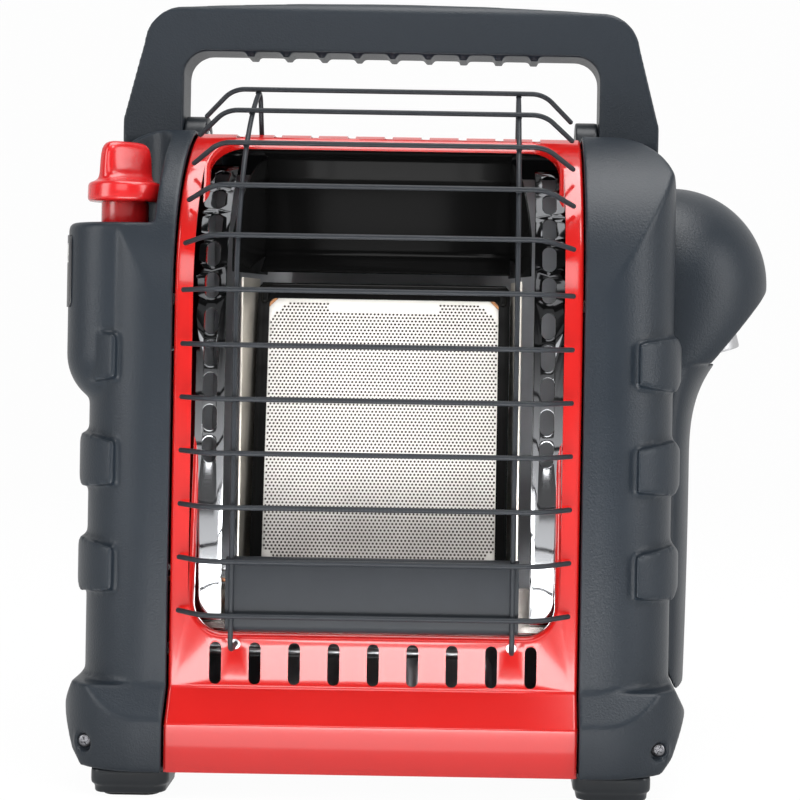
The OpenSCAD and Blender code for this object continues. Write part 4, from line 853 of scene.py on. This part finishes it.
def round_pod(angle, radius, z):
    """A place round the knob's axis; angle 0 faces left, and a positive angle turns to the front."""
    turn = math.radians(180 + angle)
    return at(KNOB_X + radius * math.cos(turn), KNOB_Y + radius * math.sin(turn), z)


near, far = POD_R + DIAL_GAP, POD_R + DIAL_GAP + DIAL_THICK
dial_rings = []
for k in range(41):
    share = k / 40
    angle = DIAL_SWEEP * (share - 0.5)
    inset = min(share, 1 - share) * DIAL_SWEEP * math.radians(1) * POD_R
    round_in = DIAL_CORNER - math.sqrt(max(0, DIAL_CORNER ** 2 - max(0, DIAL_CORNER - inset) ** 2))
    low, high = DIAL_LOW + round_in, DIAL_HIGH - round_in
    section = [(near, low), (far - DIAL_EASE, low), (far, low + 2 * DIAL_EASE),
               (far, high - 2 * DIAL_EASE), (far - DIAL_EASE, high), (near, high)]
    dial_rings.append([round_pod(angle, radius, z) for radius, z in section])
dial = loft("dial_plate_print", dial_rings)
crisp(dial, 40)
stroke_points, stroke_faces = [], []
for k, length in enumerate(STROKE_LENGTHS):
    middle = DIAL_SWEEP * (k - 1.5) * STROKE_STEP
    left, right, low = middle - STROKE_HALF, middle + STROKE_HALF, STROKE_TOP - length
    outline = [(left, STROKE_TOP), (right, STROKE_TOP), (right, low), (left, low)]
    corners = [[round_pod(angle, radius, z) for angle, z in outline] for radius in (far - 0.05, far + 0.06)]
    start = len(stroke_points)
    join_rings(stroke_points, stroke_faces, corners)
    stroke_faces.append(tuple(range(start + 4, start + 8)))
strokes = new_piece("dial_strokes", stroke_points, stroke_faces, False)
label_dark = surface("label_dark", (0.022, 0.022, 0.024), 0.42, mottle=(0.2, 80), grain=(900, 0.01))
print_white = surface("print_white", (0.70, 0.70, 0.68), 0.5, mottle=(0.08, 120), grain=(900, 0.01))
fit(dial, label_dark, "dial_plate")
fit(strokes, print_white)

# ---- Hood ----
# A black enamelled steel deflector over the burner: a sheet folded back and up under the red top,
# with a splayed cheek each side. It hangs from the chassis sides.
HOOD_T, HOOD_HALF, HOOD_EDGE = 0.9, 61.0, 0.3
HOOD_FOLDS = [(47.6, 243.8, 0), (66, 252, 7), (70, 290, 9), (64.4, 301.2, 3), (52, 302.6, 0)]
HOOD_FLANGE = [(53, 303.2), (63, 301.9)]
CHEEK_LOW, CHEEK_TOP, CHEEK_FRONT, CHEEK_BACK = 242.5, 299.3, 18.2, 68.8
CHEEK_X = (60.6, 70.3)
CHEEK_ARC_Y, CHEEK_ARC_R, CHEEK_ARC_LOW = 86.0, 74.0, 260.3
FLANGE_HALF = 91.2


def hood_sheet(name, points, faces):
    """A thin sheet with eased edges from its flat or folded face."""
    piece = new_piece(name, points, faces)
    thicken(piece, HOOD_T, 0, HOOD_EDGE)
    return piece


hood_line = FoldedLine(HOOD_FOLDS, 4)
hood_points, hood_faces = pressed_sheet(HOOD_HALF, hood_line, [])
hood_back = hood_sheet("hood_back", [hood_line.place(*p) for p in hood_points], hood_faces)
flange_points = [at(x, y, z) for y, z in HOOD_FLANGE for x in (-FLANGE_HALF, FLANGE_HALF)]
hood_flange = hood_sheet("hood_flange", flange_points, [(0, 1, 3, 2)])
cheek_outline = [(CHEEK_BACK, CHEEK_LOW), (CHEEK_BACK, CHEEK_TOP)]
for k in range(13):
    rise = CHEEK_TOP - (CHEEK_TOP - CHEEK_ARC_LOW) * k / 12
    cheek_outline.append((CHEEK_ARC_Y - math.sqrt(CHEEK_ARC_R ** 2 - (rise - CURVE_Z) ** 2), rise))
cheek_outline.append((CHEEK_FRONT, CHEEK_LOW))
slope = (CHEEK_X[1] - CHEEK_X[0]) / (CHEEK_BACK - CHEEK_FRONT)
cheek_points, cheek_faces = [], []
for side in (-1, 1):
    start = len(cheek_points)
    cheek_points += [at(side * (CHEEK_X[0] + (CHEEK_BACK - y) * slope), y, z) for y, z in cheek_outline]
    cheek_faces.append(tuple(range(start, len(cheek_points))))
hood_cheeks = hood_sheet("hood_cheeks", cheek_points, cheek_faces)
black_enamel = surface("black_enamel", (0.003, 0.003, 0.003), 0.16, mottle=(0.2, 30), swing=0.04,
                       grain=(260, 0.02), specular=0.04)
for piece, node in ((hood_back, "hood"), (hood_flange, None), (hood_cheeks, None)):
    fit(piece, black_enamel, node)

# ---- Burner frame ----
# A black enamelled pressing that holds the tile in the burner box, with a rounded bead rolled
# along its upper edge and round its corners. It leans back seven degrees with the tile.
TILT = math.radians(7)
TILE_FOOT = (25.0, 100.0)  # depth and height of the tile's lower front edge
TILE_HALF, TILE_HIGH = 57.0, 133.0
BEAD_R, BEAD_DEPTH, BEAD_HALF, BEAD_HIGH, BEAD_LOW, BEAD_CORNER = 1.9, -1.7, 57.6, 137.0, 130.5, 4.5


def leaning(x, y, z):
    """A place in the burner's own frame: across, into the heater and up the tile."""
    return at(x, TILE_FOOT[0] + y * math.cos(TILT) + z * math.sin(TILT),
              TILE_FOOT[1] - y * math.sin(TILT) + z * math.cos(TILT))


def eased(name, node, width, material, body="body", segments=2):
    """A copy of a CAD node with its sharp edges eased by a small round, standing for that node."""
    piece = cad_copy(name, node)
    ease_edges(piece, width, segments, 50)
    apply_modifiers(piece)
    crisp(piece, 32)
    fit(piece, material, node, body)


eased("burner_frame_pressing", "burner_frame", 0.45, black_enamel, segments=3)
bead_path = [(-BEAD_HALF, BEAD_LOW)]
for side in (-1, 1):
    for k in range(7):
        angle = math.radians((180 - 15 * k) if side < 0 else (90 - 15 * k))
        bead_path.append((side * (BEAD_HALF - BEAD_CORNER) + BEAD_CORNER * math.cos(angle),
                          BEAD_HIGH - BEAD_CORNER + BEAD_CORNER * math.sin(angle)))
bead_path.append((BEAD_HALF, BEAD_LOW))
bead_points, bead_faces = [], []
tube(bead_points, bead_faces, [leaning(x, BEAD_DEPTH, z) for x, z in bead_path], BEAD_R / 1000, 20)
bead = new_piece("burner_frame_bead", bead_points, bead_faces)
fit(bead, black_enamel)

# ---- Ceramic tile ----
# A block of unglazed white ceramic with clipped corners, cast with several thousand fine holes in
# a hexagonal lattice inside a plain border; each hole ends in a near-black floor of painted shade. Use has
# darkened it towards its lower edge.
TILE_CLIP, TILE_FRONT, TILE_BACK, TILE_EASE, FIELD_DEPTH = 7.0, 0.1, 12.0, 0.3, 0.18
# the perforated field: clipped corners, and a deeper plain border along the middle of the top
FIELD = [(-47, 2.6), (47, 2.6), (55.8, 11.4), (55.8, 122.2), (47.2, 130.8), (26.5, 130.8), (25.8, 127),
         (-25.8, 127), (-26.5, 130.8), (-47.2, 130.8), (-55.8, 122.2), (-55.8, 11.4)]
HOLE_PITCH, HOLE_R, HOLE_DEPTH = 1.82, 0.64, 1.4
LATTICE_GROW, LATTICE_HALF = -1.2, 32  # how far its sheet goes under the border, and holes either side
CERAMIC = (0.52, 0.505, 0.48)
SOOT = (0.38, 0.36, 0.34)
SOOT_HEIGHTS = (0.098, 0.165)  # metres above the floor: sooted below the first, clean above the second


def ceramic_finish(name):
    """Chalky cream that darkens towards the burner's foot, with cloudy stains and a fine grit."""
    material, tree = new_material(name)
    spot = grain_coords(tree)
    clouds = noise(tree, 55.0, 5.0, spot)
    stain = worked_out(tree, "MULTIPLY_ADD", clouds, 0.9, climb(tree, spot, *SOOT_HEIGHTS))
    clean = spread(tree, stain, (0.35, 1.35))
    shader = add_node(tree, "BsdfPrincipled", {
        "Base Color": blend(tree, clean, SOOT + (1,), CERAMIC + (1,)),
        "Roughness": spread(tree, clouds, after=(0.8, 0.98)),
        "Normal": raised(tree, noise(tree, 1500.0, spot=spot), 0.00005),
        "Specular IOR Level": 0.15})
    add_node(tree, "OutputMaterial", {"Surface": shader.outputs[0]})
    return material


def tile_outline(grow):
    """The tile's clipped outline, grown all round."""
    w, h, c = TILE_HALF + grow, TILE_HIGH + grow, TILE_CLIP
    right = [(w - c, -grow), (w, c - grow), (w, h - c), (w - c, h)]
    return right + [(-x, z) for x, z in right[::-1]]


ceramic = ceramic_finish("tile_ceramic")
# Painted shade: a near-black floor closes each hole, so that the holes look deep and dark.
hole_floor_shade = surface("tile_hole_painted_shade", (0.06, 0.05, 0.045), 0.9, mottle=(0.3, 200), grain=(900, 0.02),
                    specular=0.05)
outer = tile_outline(-TILE_EASE)
flat_points = [Vector(p) for p in outer + FIELD]
flat_edges = loop_edges(0, len(outer)) + loop_edges(len(outer), len(FIELD))
flat, tile_faces = triangulated(flat_points, flat_edges, [FIELD])
tile_points = [leaning(p.x, TILE_FRONT, p.y) for p in flat]
steps_back = ((-TILE_EASE, TILE_FRONT), (-0.08, TILE_FRONT + 0.1), (0, TILE_FRONT + 0.35), (0, TILE_BACK))
tile_rings = [[leaning(x, depth, z) for x, z in tile_outline(grow)] for grow, depth in steps_back]
join_rings(tile_points, tile_faces, tile_rings)
tile_faces.append(tuple(range(len(tile_points) - 8, len(tile_points))))
field_walls = (TILE_FRONT, TILE_FRONT + FIELD_DEPTH + 0.2)
join_rings(tile_points, tile_faces, [[leaning(x, depth, z) for x, z in FIELD] for depth in field_walls])
tile = new_piece("burner_tile_block", tile_points, tile_faces)
weld(tile)
crisp(tile, 35)

lattice_points, lattice_faces, lattice_shaded_floors = [], [], []
corner_seen = {}
face_y = TILE_FRONT + FIELD_DEPTH
row_step = HOLE_PITCH * math.sqrt(3) / 2
six_ways = [(math.cos(math.radians(60 * k + 30)), math.sin(math.radians(60 * k + 30))) for k in range(6)]


def lattice_corner(x, z):
    """The number of the lattice's corner here, which its neighbours share."""
    key = (round(x * 50), round(z * 50))
    if key not in corner_seen:
        corner_seen[key] = len(lattice_points)
        lattice_points.append(leaning(x, face_y, z))
    return corner_seen[key]


under_border = tile_outline(LATTICE_GROW)
for row in range(math.ceil(TILE_HIGH / row_step)):
    z = row * row_step
    for column in range(-LATTICE_HALF, LATTICE_HALF + 1):
        x = (column + (0.5 if row % 2 else 0)) * HOLE_PITCH
        if not inside((x, z), under_border):
            continue
        around = [(x + HOLE_PITCH / math.sqrt(3) * c, z + HOLE_PITCH / math.sqrt(3) * s) for c, s in six_ways]
        hexagon = [lattice_corner(*spot) for spot in around]
        start = len(lattice_points)
        if all(inside(spot, FIELD) for spot in around):
            for y in (face_y, face_y + HOLE_DEPTH):
                lattice_points += [leaning(x + HOLE_R * c, y, z + HOLE_R * s) for c, s in six_ways]
            for k in range(6):
                j = (k + 1) % 6
                lattice_faces.append((hexagon[k], hexagon[j], start + j, start + k))
                lattice_faces.append((start + k, start + j, start + 6 + j, start + 6 + k))
            # this hole's floor, painted near-black as shade
            lattice_shaded_floors.append(len(lattice_faces))
            lattice_faces.append(tuple(range(start + 6, start + 12)))
        else:
            lattice_faces.append(tuple(hexagon))
lattice = new_piece("burner_tile_lattice", lattice_points, lattice_faces, False)
fit(tile, ceramic, "ceramic_tile")
fit(lattice, ceramic)
lattice.data.materials.append(hole_floor_shade)
# Painted shade: every hole's floor takes the near-black finish.
for index in lattice_shaded_floors:
    lattice.data.polygons[index].material_index = 1

# ---- Tile gasket ----
# A thin coppery fibre strip packed between the tile's edge and its frame. Only its edge shows, as
# a fine line round the tile.
gasket_fibre = surface("gasket_fibre", (0.36, 0.17, 0.08), 0.75, mottle=(0.3, 160), grain=(1400, 0.05),
                       specular=0.2)
wear_node(["tile_gasket"], gasket_fibre)

# ---- Mirror strips and side mirrors ----
# Bright rolled sheet: a curved strip with a row of oval holes inside each edge of the window, darkened
# towards its top as a painted reflection of a dark room, and a splayed wall each side of the tile that
# throws its glow forward, that the heat has dulled and whose cream tint is a painted reflection of the tile's
# glow. They are welded to the chassis.
STRIP_PAINTED_DARK_REFLECTION = (0.11, 0.22, 0.06)  # painted dark reflection: plain below, dark above, in metres, and the darkest share of its light
mirror_sheet = surface("mirror_sheet", (0.50, 0.51, 0.53), 0.09, metallic=1.0, mottle=(0.05, 18), swing=0.05,
                       grain=(70, 0.05))


def paint_dark_reflection_above(material, plain_below, dark_above, darkest):
    """Darkens the finish step by step between two heights in metres: a painted reflection of a dark room
    above.
    """
    tree = material.node_tree
    colour = next(n for n in tree.nodes if n.type == "BSDF_PRINCIPLED").inputs["Base Color"]
    climbing = climb(tree, grain_coords(tree), plain_below, dark_above)
    painted_dark = (darkest, darkest, darkest, 1)
    tree.links.new(blend(tree, climbing, colour.links[0].from_socket, painted_dark, "MULTIPLY"), colour)


# Painted reflection: the strips grow darker towards their top, as if they mirrored a dark room.
paint_dark_reflection_above(mirror_sheet, *STRIP_PAINTED_DARK_REFLECTION)
# Painted reflection: the cream tint stands for the tile's glow seen in the side mirrors; the roughness dulls
# them.
dulled_mirror_painted_glow = surface("dulled_mirror_painted_glow", (0.74, 0.70, 0.63), 0.44, metallic=1.0, swing=0.08,
                        grain=(120, 0.03))
for side in ("left", "right"):
    eased("side_strip_" + side + "_sheet", "side_strip_" + side, 0.25, mirror_sheet)
    eased("side_mirror_" + side + "_sheet", "side_mirror_" + side, 0.25, dulled_mirror_painted_glow)

# ---- Lower reflector ----
# One bright sheet folded twice under the tile, from the panel's rim back to the burner's foot.
# Heat has browned it a little. It is welded to the chassis sides.
heated_mirror = surface("heated_mirror", (0.62, 0.58, 0.54), 0.20, metallic=1.0, mottle=(0.22, 30), swing=0.1,
                        grain=(90, 0.06))
eased("lower_reflector_sheet", "lower_reflector", 0.25, heated_mirror)

# ---- Pilot group ----
# Pilot tube, thermocouple and spark electrode in a row on a small folded bracket in front of the
# tile's lower left corner: turned steel and white ceramic, blued and sooted by the flame.
flame_steel = surface("flame_steel", (0.34, 0.31, 0.30), 0.34, metallic=1.0, mottle=(0.35, 140), swing=0.12,
                      grain=(900, 0.02))
white_ceramic = surface("white_ceramic", (0.74, 0.71, 0.65), 0.35, mottle=(0.12, 160), grain=(700, 0.01),
                        specular=0.4)
eased("pilot_tube", "pilot_burner", 0.2, flame_steel)
eased("thermocouple_probe", "thermocouple", 0.3, flame_steel)
eased("spark_electrode_rod", "spark_electrode", 0.2, white_ceramic)
eased("pilot_bracket_sheet", "pilot_bracket", 0.2, flame_steel)

# ---- Burner box, venturi and jet ----
# The pressed box behind the tile, the tube that feeds it with a belled mouth, and the brass jet on
# its bracket under the mouth: plain zinc-plated sheet, dulled by heat.
plated_sheet = surface("plated_sheet", (0.56, 0.57, 0.59), 0.33, metallic=1.0, mottle=(0.14, 55), swing=0.1,
                       grain=(500, 0.02))
turned_brass = surface("turned_brass", (0.64, 0.43, 0.16), 0.26, metallic=1.0, mottle=(0.15, 110), swing=0.08,
                       grain=(1200, 0.01))
eased("burner_box_sheet", "burner_plenum", 0.4, plated_sheet)
eased("venturi_spinning", "venturi_tube", 0.2, plated_sheet)
eased("jet_bracket_sheet", "jet_bracket", 0.2, plated_sheet)
eased("gas_jet_turning", "gas_jet", 0.3, turned_brass)

# ---- Gas pipes and leads ----
# Steel gas pipes bent by hand from the elbow to the valve and from the valve to the burner and the
# pilot, the thermocouple's copper capillary and the igniter's sleeved lead. Parts of them show.
copper_tube = surface("copper_tube", (0.50, 0.22, 0.12), 0.30, metallic=1.0, mottle=(0.2, 120), swing=0.1,
                      grain=(900, 0.01))
wear_node(["feed_pipe", "burner_pipe", "pilot_pipe", "guard_clips", "push_plate"], plated_sheet)
wear_node(["thermocouple_lead"], copper_tube)
wear_node(["igniter_lead"], white_ceramic)

# ---- Valve, igniter and switch ----
# A die-cast push-and-turn valve on a folded bracket with its steel spindle, a piezo igniter worked
# by the same push, and a tip-over switch on the base pan. All are hidden in the left shell.
zinc_cast = surface("zinc_cast", (0.42, 0.42, 0.43), 0.45, metallic=0.9, mottle=(0.16, 90), swing=0.08,
                    grain=(900, 0.05))
bright_steel = surface("bright_steel", (0.62, 0.63, 0.65), 0.22, metallic=1.0, mottle=(0.08, 120), swing=0.06,
                       grain=(1500, 0.01))
black_plastic = surface("black_plastic", (0.018, 0.018, 0.020), 0.42, mottle=(0.2, 90), grain=(1000, 0.03),
                        specular=0.35)
eased("control_valve_casting", "control_valve", 0.6, zinc_cast, segments=3)
eased("valve_bracket_sheet", "valve_bracket", 0.25, plated_sheet)
eased("piezo_igniter_body", "piezo_igniter", 0.4, black_plastic)
eased("tip_over_switch_body", "tip_over_switch", 0.5, black_plastic)
wear_node(["valve_spindle", "return_spring", "handle_pins"], bright_steel)
wear_node(["igniter_plunger"], black_plastic)

# ---- Regulator ----
# A die-cast gas regulator that swivels on the brass elbow under the dome: a round body with a
# spring bonnet, and the inlet nut with its thread and rubber seal that a gas cylinder screws into.
INLET_LEAN = math.radians(15)
INLET_R, BORE_R, INLET_TIP, INLET_TOP, BORE_LENGTH = 14.5, 12.2, 40.0, 12.05, 18.0
THREAD_PITCH, THREAD_DEPTH = 1.27, 0.35
GROOVE_COUNT, GROOVE_TOP, GROOVE_PITCH, GROOVE_DEPTH = 5, -19.0, 1.3, 0.45


def on_swivel(x, y, z):
    """A place in the regulator's own frame, whose inlet leans fifteen degrees at rest."""
    return at(SWIVEL_X + x * math.cos(INLET_LEAN) - z * math.sin(INLET_LEAN), DOME_Y + y,
              SWIVEL_Z + x * math.sin(INLET_LEAN) + z * math.cos(INLET_LEAN))


def lathe(name, profile, place, sides=64):
    """A turned piece from (radius, height) pairs; place puts (x, y, height) into the frame."""
    turns = [2 * math.pi * k / sides for k in range(sides)]
    rings = [[place(r * math.cos(t), r * math.sin(t), h) for t in turns] for r, h in profile]
    piece = loft(name, rings, profile[0] != profile[-1])
    weld(piece)
    crisp(piece, 30)
    return piece


tip = -INLET_TIP
nut_profile = [(5, -INLET_TOP), (13.6, -INLET_TOP), (INLET_R, -INLET_TOP - 0.9)]
for k in range(GROOVE_COUNT):
    z = GROOVE_TOP - GROOVE_PITCH * k
    nut_profile += [(INLET_R, z + 0.35), (INLET_R - GROOVE_DEPTH, z), (INLET_R, z - 0.35)]
nut_profile += [(INLET_R, tip + 1.2), (INLET_R - 0.4, tip + 0.3), (INLET_R - 1.1, tip)]
nut_profile += [(BORE_R + 0.7, tip), (BORE_R, tip + 0.7)]
for k in range(int((BORE_LENGTH - 3) / THREAD_PITCH)):
    z = tip + 1.4 + k * THREAD_PITCH
    root = BORE_R + THREAD_DEPTH
    nut_profile += [(BORE_R, z), (root, z + 0.3), (root, z + 0.6), (BORE_R, z + 0.9)]
bore_end = tip + BORE_LENGTH
nut_profile += [(BORE_R, bore_end), (BORE_R - 0.55, bore_end), (BORE_R - 0.55, bore_end + 2)]
nut_profile += [(3, bore_end + 2), (3, -INLET_TOP)]
nut = lathe("inlet_nut_turning", nut_profile + nut_profile[:1], on_swivel)
fit(nut, zinc_cast, "inlet_nut", "regulator")
eased("regulator_casting", "regulator_body", 1.0, zinc_cast, "regulator", 4)
eased("regulator_bonnet_casting", "regulator_bonnet", 0.8, zinc_cast, "regulator", 3)
eased("swivel_elbow_turning", "swivel_elbow", 0.3, turned_brass)
eased("swivel_locknut_turning", "swivel_locknut", 0.4, turned_brass)
rubber = surface("rubber", (0.016, 0.016, 0.016), 0.75, mottle=(0.2, 120), grain=(900, 0.03),
                 specular=0.25)
wear_node(["inlet_seal"], rubber)

# ---- Base pan, chassis and heat shield ----
# Folded steel: a black painted pan that everything stands on, two plated side walls that carry the
# burner and the handle's brackets, and a plated shield between the burner and the rear cover.
dark_paint = surface("dark_paint", (0.028, 0.028, 0.030), 0.42, mottle=(0.2, 60), swing=0.08,
                     grain=(700, 0.03), specular=0.4)
eased("base_pan_sheet", "base_pan", 0.3, dark_paint)
eased("chassis_side_sheets", "chassis_sides", 0.25, plated_sheet)
eased("heat_shield_sheet", "heat_shield", 0.25, plated_sheet)

# ---- Foot pads ----
# A soft black rubber pad glued under each of the four feet, so that the heater doesn't slide.
eased("foot_rubbers", "foot_pads", 0.35, rubber, segments=3)

# ---- Screws ----
# Pan-head screws in a dark metal colour, with a cross recess: one deep in the skirt under each shell's front,
# and four through the rear cover into the chassis. The dark colour is painted shade for the skirt screws'
# deep recess.
SCREW_HEAD_R, SCREW_SHANK_R = 3.45, 1.75
CROSS_HALF, CROSS_ARM, CROSS_DEEP = 0.45, 1.9, 1.1
SKIRT_X, SKIRT_Y, SKIRT_Z = 132.5, 1.0, 24.0
REAR_X, REAR_Y, REAR_LOW, REAR_HIGH = 84.0, 175.5, 34.0, 262.0
SCREW_PROFILE = [(0.2, 0.0), (1.4, 0.06), (2.3, 0.25), (3.0, 0.62), (3.38, 1.15), (SCREW_HEAD_R, 1.6),
                 (SCREW_HEAD_R, 1.85), (3.3, 1.95), (SCREW_SHANK_R, 1.95), (SCREW_SHANK_R, 10.8), (1.2, 11.4)]


def screw(name, x, y, z, way, turn):
    """A screw whose head's top stands at a place; way is 1 where it is driven towards the back."""
    piece = lathe(name, SCREW_PROFILE, lambda u, v, h: at(x + u, y + way * h, z + v), 32)
    cross = []
    for k in range(4):
        for u, v in ((CROSS_HALF, CROSS_HALF), (CROSS_ARM, CROSS_HALF), (CROSS_ARM, -CROSS_HALF)):
            spot = turned(Vector((u, v)), math.radians(turn - 90 * k))
            cross.append((x + spot.x, z + spot.y))
    near, far = y - way * 0.5, y + way * CROSS_DEEP
    tool = prism(name + "_cross", cross, min(near, far), max(near, far))
    carve(piece, tool)
    crisp(piece, 35)
    return piece


# Painted shade: a dark metal colour, so that the skirt screws look dark deep in their recess.
screw_dark_metal = surface("screw_dark_metal", (0.16, 0.16, 0.17), 0.38, metallic=1.0, mottle=(0.15, 250), swing=0.08,
                     grain=(1800, 0.01))
# name, place of the head's top, way in and turn of its cross
screws = [("skirt_screw_left", -SKIRT_X, SKIRT_Y, SKIRT_Z, 1, 20),
          ("skirt_screw_right", SKIRT_X, SKIRT_Y, SKIRT_Z, 1, 62),
          ("rear_screw_a", -REAR_X, REAR_Y, REAR_LOW, -1, 10),
          ("rear_screw_b", REAR_X, REAR_Y, REAR_LOW, -1, 40),
          ("rear_screw_c", -REAR_X, REAR_Y, REAR_HIGH, -1, 75),
          ("rear_screw_d", REAR_X, REAR_Y, REAR_HIGH, -1, 55)]
for name, x, y, z, way, turn in screws:
    piece = screw(name, x, y, z, way, turn)
    first_node = {"skirt_screw_left": "skirt_screws", "rear_screw_a": "rear_screws"}.get(name)
    fit(piece, screw_dark_metal, first_node)


low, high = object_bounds()
{"cad": [list(cad_low), list(cad_high)], "visual": [list(low), list(high)]}
